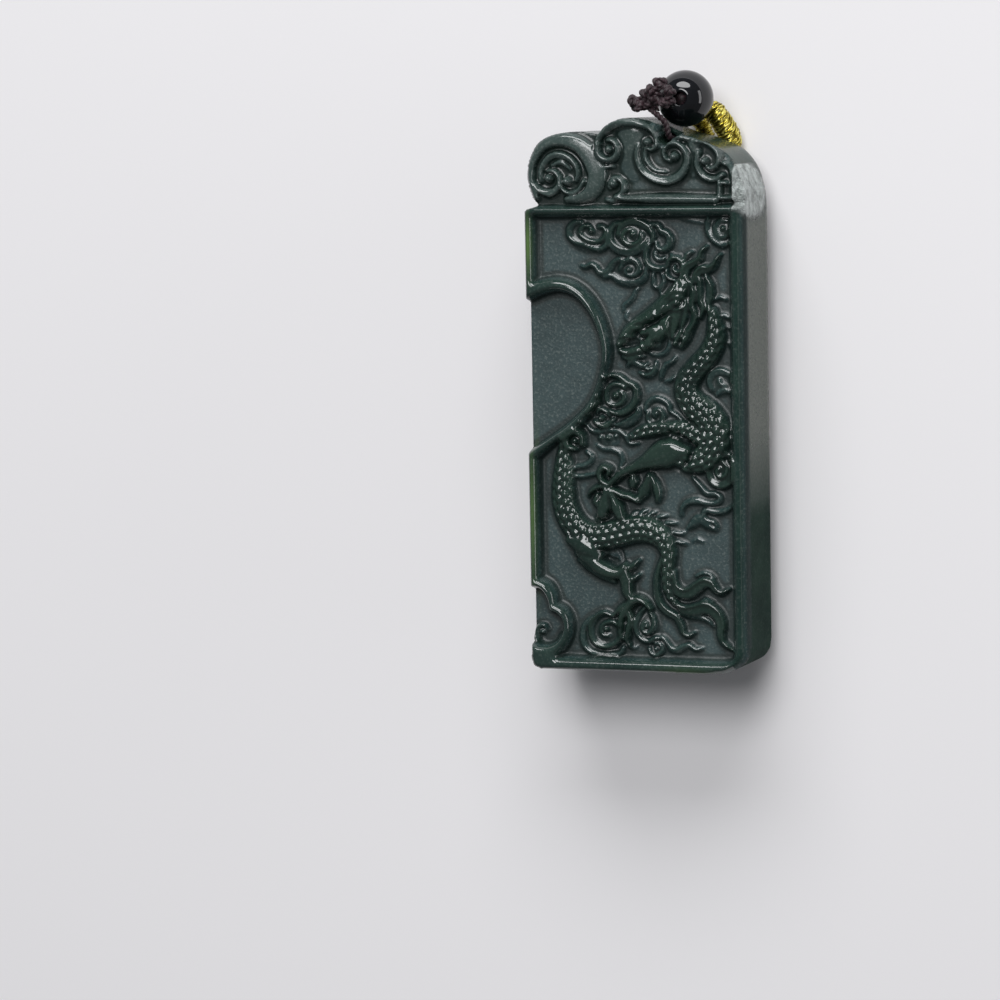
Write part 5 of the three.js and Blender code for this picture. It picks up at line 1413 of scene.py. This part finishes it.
# %% The knotted loop
LOOP_ROUTE = [(16.9, 76.6, 8.9), (18.2, 75.7, 9.5), (19.3, 74.5, 9.3), (19.6, 72.8, 8.8), (19.6, 72.4, 7.0),
              (19.6, 72.4, 4.0), (19.6, 72.4, 0.6), (19.4, 72.7, -0.8), (18.4, 74.6, -1.1),
              (16.4, 76.1, -0.7), (14.6, 76.7, 1.2), (14.0, 76.7, 4.0), (14.1, 76.9, 6.6), (14.6, 77.4, 8.0)]
# each knot: its place, its radius and how it is turned about X and Z
KNOTS = [(18.6, 79.9, 9.5, 1.1, 0.4, 0.2), (16.75, 78.6, 9.0, 1.2, 1.1, 1.4),
         (14.7, 77.4, 8.3, 1.2, 0.5, 2.2), (16.9, 77.35, 9.0, 1.15, 0.9, 0.6),
         (18.1, 78.0, 9.9, 1.0, 0.2, 1.9), (20.3, 78.8, 10.5, 0.95, 0.7, 2.8),
         (19.5, 77.3, 10.3, 0.85, 1.3, 0.9), (15.7, 77.0, 9.4, 1.0, 0.8, 0.3),
         (17.6, 79.0, 10.2, 1.0, 1.2, 2.4)]
IN_BORE = [tuple(np.add(BEAD_CENTRE, np.multiply(BEAD_AXIS, h))) for h in (-3.6, -1.0, 2.9)]
TAILS = [[(18.1, 78.0, 9.9), (19.5, 77.3, 10.3), (20.9, 77.6, 10.05)],
         [(18.6, 79.9, 9.5), (20.3, 78.8, 10.5), (19.5, 77.3, 10.3)],
         [(14.7, 77.4, 8.3), (16.75, 78.6, 9.0), (18.6, 79.9, 9.5)],
         [(16.9, 76.6, 8.9), (16.9, 77.35, 9.0), (18.1, 78.0, 9.9)]]


def overhand_knot(bm, u, v, z, radius, tilt, turn):
    t = np.linspace(0, 2 * math.pi, 44)
    size = (1.12 * radius - THREAD / 2) / 3
    knot = np.stack([np.sin(t) + 2 * np.sin(2 * t), np.cos(t) - 2 * np.cos(2 * t), -1.7 * np.sin(3 * t)],
                    1) * size
    c, s = math.cos(tilt), math.sin(tilt)
    knot = knot @ np.array([[1, 0, 0], [0, c, -s], [0, s, c]])
    c, s = math.cos(turn), math.sin(turn)
    knot = knot @ np.array([[c, -s, 0], [s, c, 0], [0, 0, 1]])
    twisted(bm, knot + (u, v, z), THREAD / 2, 0.2)
    bmesh.ops.create_icosphere(bm, subdivisions=2, radius=0.62 * radius * MM,
                               matrix=Matrix.Translation(at(u, v, z)))


def knotted_loop():
    bm = bmesh.new()
    twisted(bm, LOOP_ROUTE)
    for knot in KNOTS:
        overhand_knot(bm, *knot)
    for tail in TAILS:
        twisted(bm, tail)
    tube(bm, smooth_line(IN_BORE, 0.5), BEAD_BORE - 0.02, 16)
    return closed_faces(bm)


loop_piece = piece("thread_knots", knotted_loop(), brown_thread, replaces=["knotted_loop"])
print("knot faces", len(loop_piece.data.polygons))

# %% [markdown]
# ## Gold bindings
# Two strands leave the bead on its far side. Where each joins the neck cord the joint is bound
# with metallic yellow thread, wound tightly and a little unevenly. The winding is a real helix
# over a plain core, so that every turn has its own thin highlight.

# %% Wound gold thread
GOLD_THREAD = 0.15  # radius, mm
GOLD_PITCH = 0.30
WRAP_ROUTES = {
    "gold_wrap_right": [(22.8, 76.5, -0.1), (23.9, 75.4, 0.1), (24.8, 73.3, -1.4), (25.1, 71.2, -2.6),
                        (24.9, 68.5, WRAP_FLOOR), (24.2, 65.6, WRAP_FLOOR)],
    "gold_wrap_left": [(20.3, 76.0, -1.8), (20.5, 74.6, -2.7), (21.3, 72.8, WRAP_FLOOR),
                       (22.0, 70.5, WRAP_FLOOR), (21.7, 68.0, WRAP_FLOOR), (21.0, 65.6, WRAP_FLOOR)],
}
STEM_ROUTES = {
    "gold_wrap_right": [(21.15, 77.5, 0.5), (21.9, 77.2, -0.1), (22.9, 76.4, -0.1)],
    "gold_wrap_left": [(19.9, 77.5, 0.5), (19.9, 77.0, -0.6), (20.3, 75.9, -1.8)],
}


def gold_finish():
    gold = Finish("gold_thread", Metallic=0.9, Roughness=0.24)
    twist_glint_and_shade = gold.node("ShaderNodeTexWave", {"Vector": gold.place((1.0, 0.35, 1.0), "UV"), "Scale": 1.0,
                                            "Distortion": 0.6, "Detail": 1.0}, bands_direction="DIAGONAL")
    twist_glint_and_shade = twist_glint_and_shade.outputs["Fac"]
    patch = gold.noise(gold.place(), 1500.0, 2.0)
    # painted highlights and shade: dark in the grooves of the twist, bright on its crests
    colour = gold.ramp(twist_glint_and_shade, (0.05, (0.10, 0.075, 0.004)), (0.45, (0.78, 0.64, 0.07)),
                       (0.95, (1.0, 0.90, 0.25)))
    colour = gold.mix(gold.ramp(patch, (0.48, 0.0), (0.66, 0.75)), colour, (0.16, 0.11, 0.01))
    gold.set(Base_Color=colour)
    return gold.set(Normal=gold.bump(twist_glint_and_shade, 0.00008, 0.8))


def gold_binding(name):
    """The winding is fuller near the bead than where it ends, and no two turns are quite alike."""
    bm = bmesh.new()
    route = smooth_line(WRAP_ROUTES[name], 0.3)
    run = np.linspace(0, 1, len(route))
    outer = np.interp(run, [0, 0.08, 0.5, 0.72, 1], [1.25, 1.6, 1.55, 1.3, 1.2])
    outer = np.minimum(outer, route[:, 2] - FLOOR - 0.2)
    tube(bm, route, outer[::4] - 1.5 * GOLD_THREAD, 14)
    chance = np.random.default_rng(7)
    for pitch, proud in ((GOLD_PITCH, 0.0), (-3.1 * GOLD_PITCH, 0.05)):
        turns = helix(route, 1.0, pitch, 0.0, 14 if pitch > 0 else 18)
        share = np.linspace(0, 1, len(turns))
        middle = np.stack([np.interp(share, run, route[:, k]) for k in range(3)], 1)
        uneven = np.interp(share, np.linspace(0, 1, len(turns) // 5),
                           chance.normal(0, 0.035, len(turns) // 5))
        reach = np.interp(share, run, outer) - GOLD_THREAD + proud + uneven
        tube(bm, middle + (turns - middle) * reach[:, None], GOLD_THREAD * 0.95, 5)
    return closed_faces(bm)


gold_thread = gold_finish()
for side in WRAP_ROUTES:
    piece(side.replace("wrap", "binding"), gold_binding(side), gold_thread,
                                replaces=[side])
    bm = bmesh.new()
    twisted(bm, STEM_ROUTES[side])
    piece(side.replace("gold_wrap", "stem"), closed_faces(bm), brown_thread)


# %% [markdown]
# ## Cord and tie
# The neck cord is a tube along the way worked out at the start, with a braid of four strands as
# a pattern on its own map. A length of the brown thread is wound three times round the middle of
# the hank and keeps it flat.

# %% The neck cord and the tie
def braid_finish():
    braid = Finish("brown_cord", Roughness=0.6, Sheen_Weight=0.3, Sheen_Roughness=0.4)
    waves = []
    for lean in (1.0, -1.0):
        wave = braid.node("ShaderNodeTexWave",
                          {"Vector": braid.place((2.0, 1.1 * lean, 1.0), "UV"), "Scale": 1.0,
                                                "Distortion": 0.0}, bands_direction="DIAGONAL")
        waves.append(wave.outputs["Fac"])
    weave = braid.maths("MAXIMUM", waves[0], waves[1])
    fibre = braid.noise(braid.place((6.0, 2.0, 1.0), "UV"), 10.0, 2.0)
    colour = braid.mix(weave, (0.010, 0.004, 0.006), (0.070, 0.028, 0.036))
    colour = braid.mix(braid.ramp(fibre, (0.4, 0.0), (0.8, 0.5)), colour, (0.14, 0.06, 0.075))
    braid.set(Base_Color=colour)
    return braid.set(Normal=braid.bump(weave, 0.00015, 0.8))


def wound_tie():
    low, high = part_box("hank_tie")
    thick = TIE_THICK / 2 - 0.01
    half_wide = (high.x - low.x) / 2 / MM - TIE_THICK / 2
    bottom = FLOOR + TIE_THICK / 2
    top = (high.z - ORIGIN.z) / MM - TIE_THICK / 2
    middle, tall, corner = (bottom + top) / 2, (top - bottom) / 2, 1.2
    way = []
    turns = 3
    for k in range(turns * 28):
        a = 2 * math.pi * k / 28
        x = math.copysign(abs(math.cos(a)) ** 0.35, math.cos(a)) * half_wide
        z = math.copysign(abs(math.sin(a)) ** 0.35, math.sin(a)) * tall
        v = HANK_CENTRE[1] + (k / (turns * 28) - 0.5) * (TIE_WIDTH - TIE_THICK)
        way.append((HANK_CENTRE[0] + x, v, middle + z))
    bm = bmesh.new()
    tube(bm, np.array(way), thick, 8)
    return closed_faces(bm)


bm = bmesh.new()
tube(bm, cord_line, CORD / 2 - 0.01, 12)
cord_piece = piece("neck_cord", closed_faces(bm), braid_finish(),
                   replaces=["neck_cord_right", "neck_cord_left", "cord_hank"])
tie_piece = piece("wound_tie", wound_tie(), brown_thread, replaces=["hank_tie"])
print("cord faces", len(cord_piece.data.polygons))
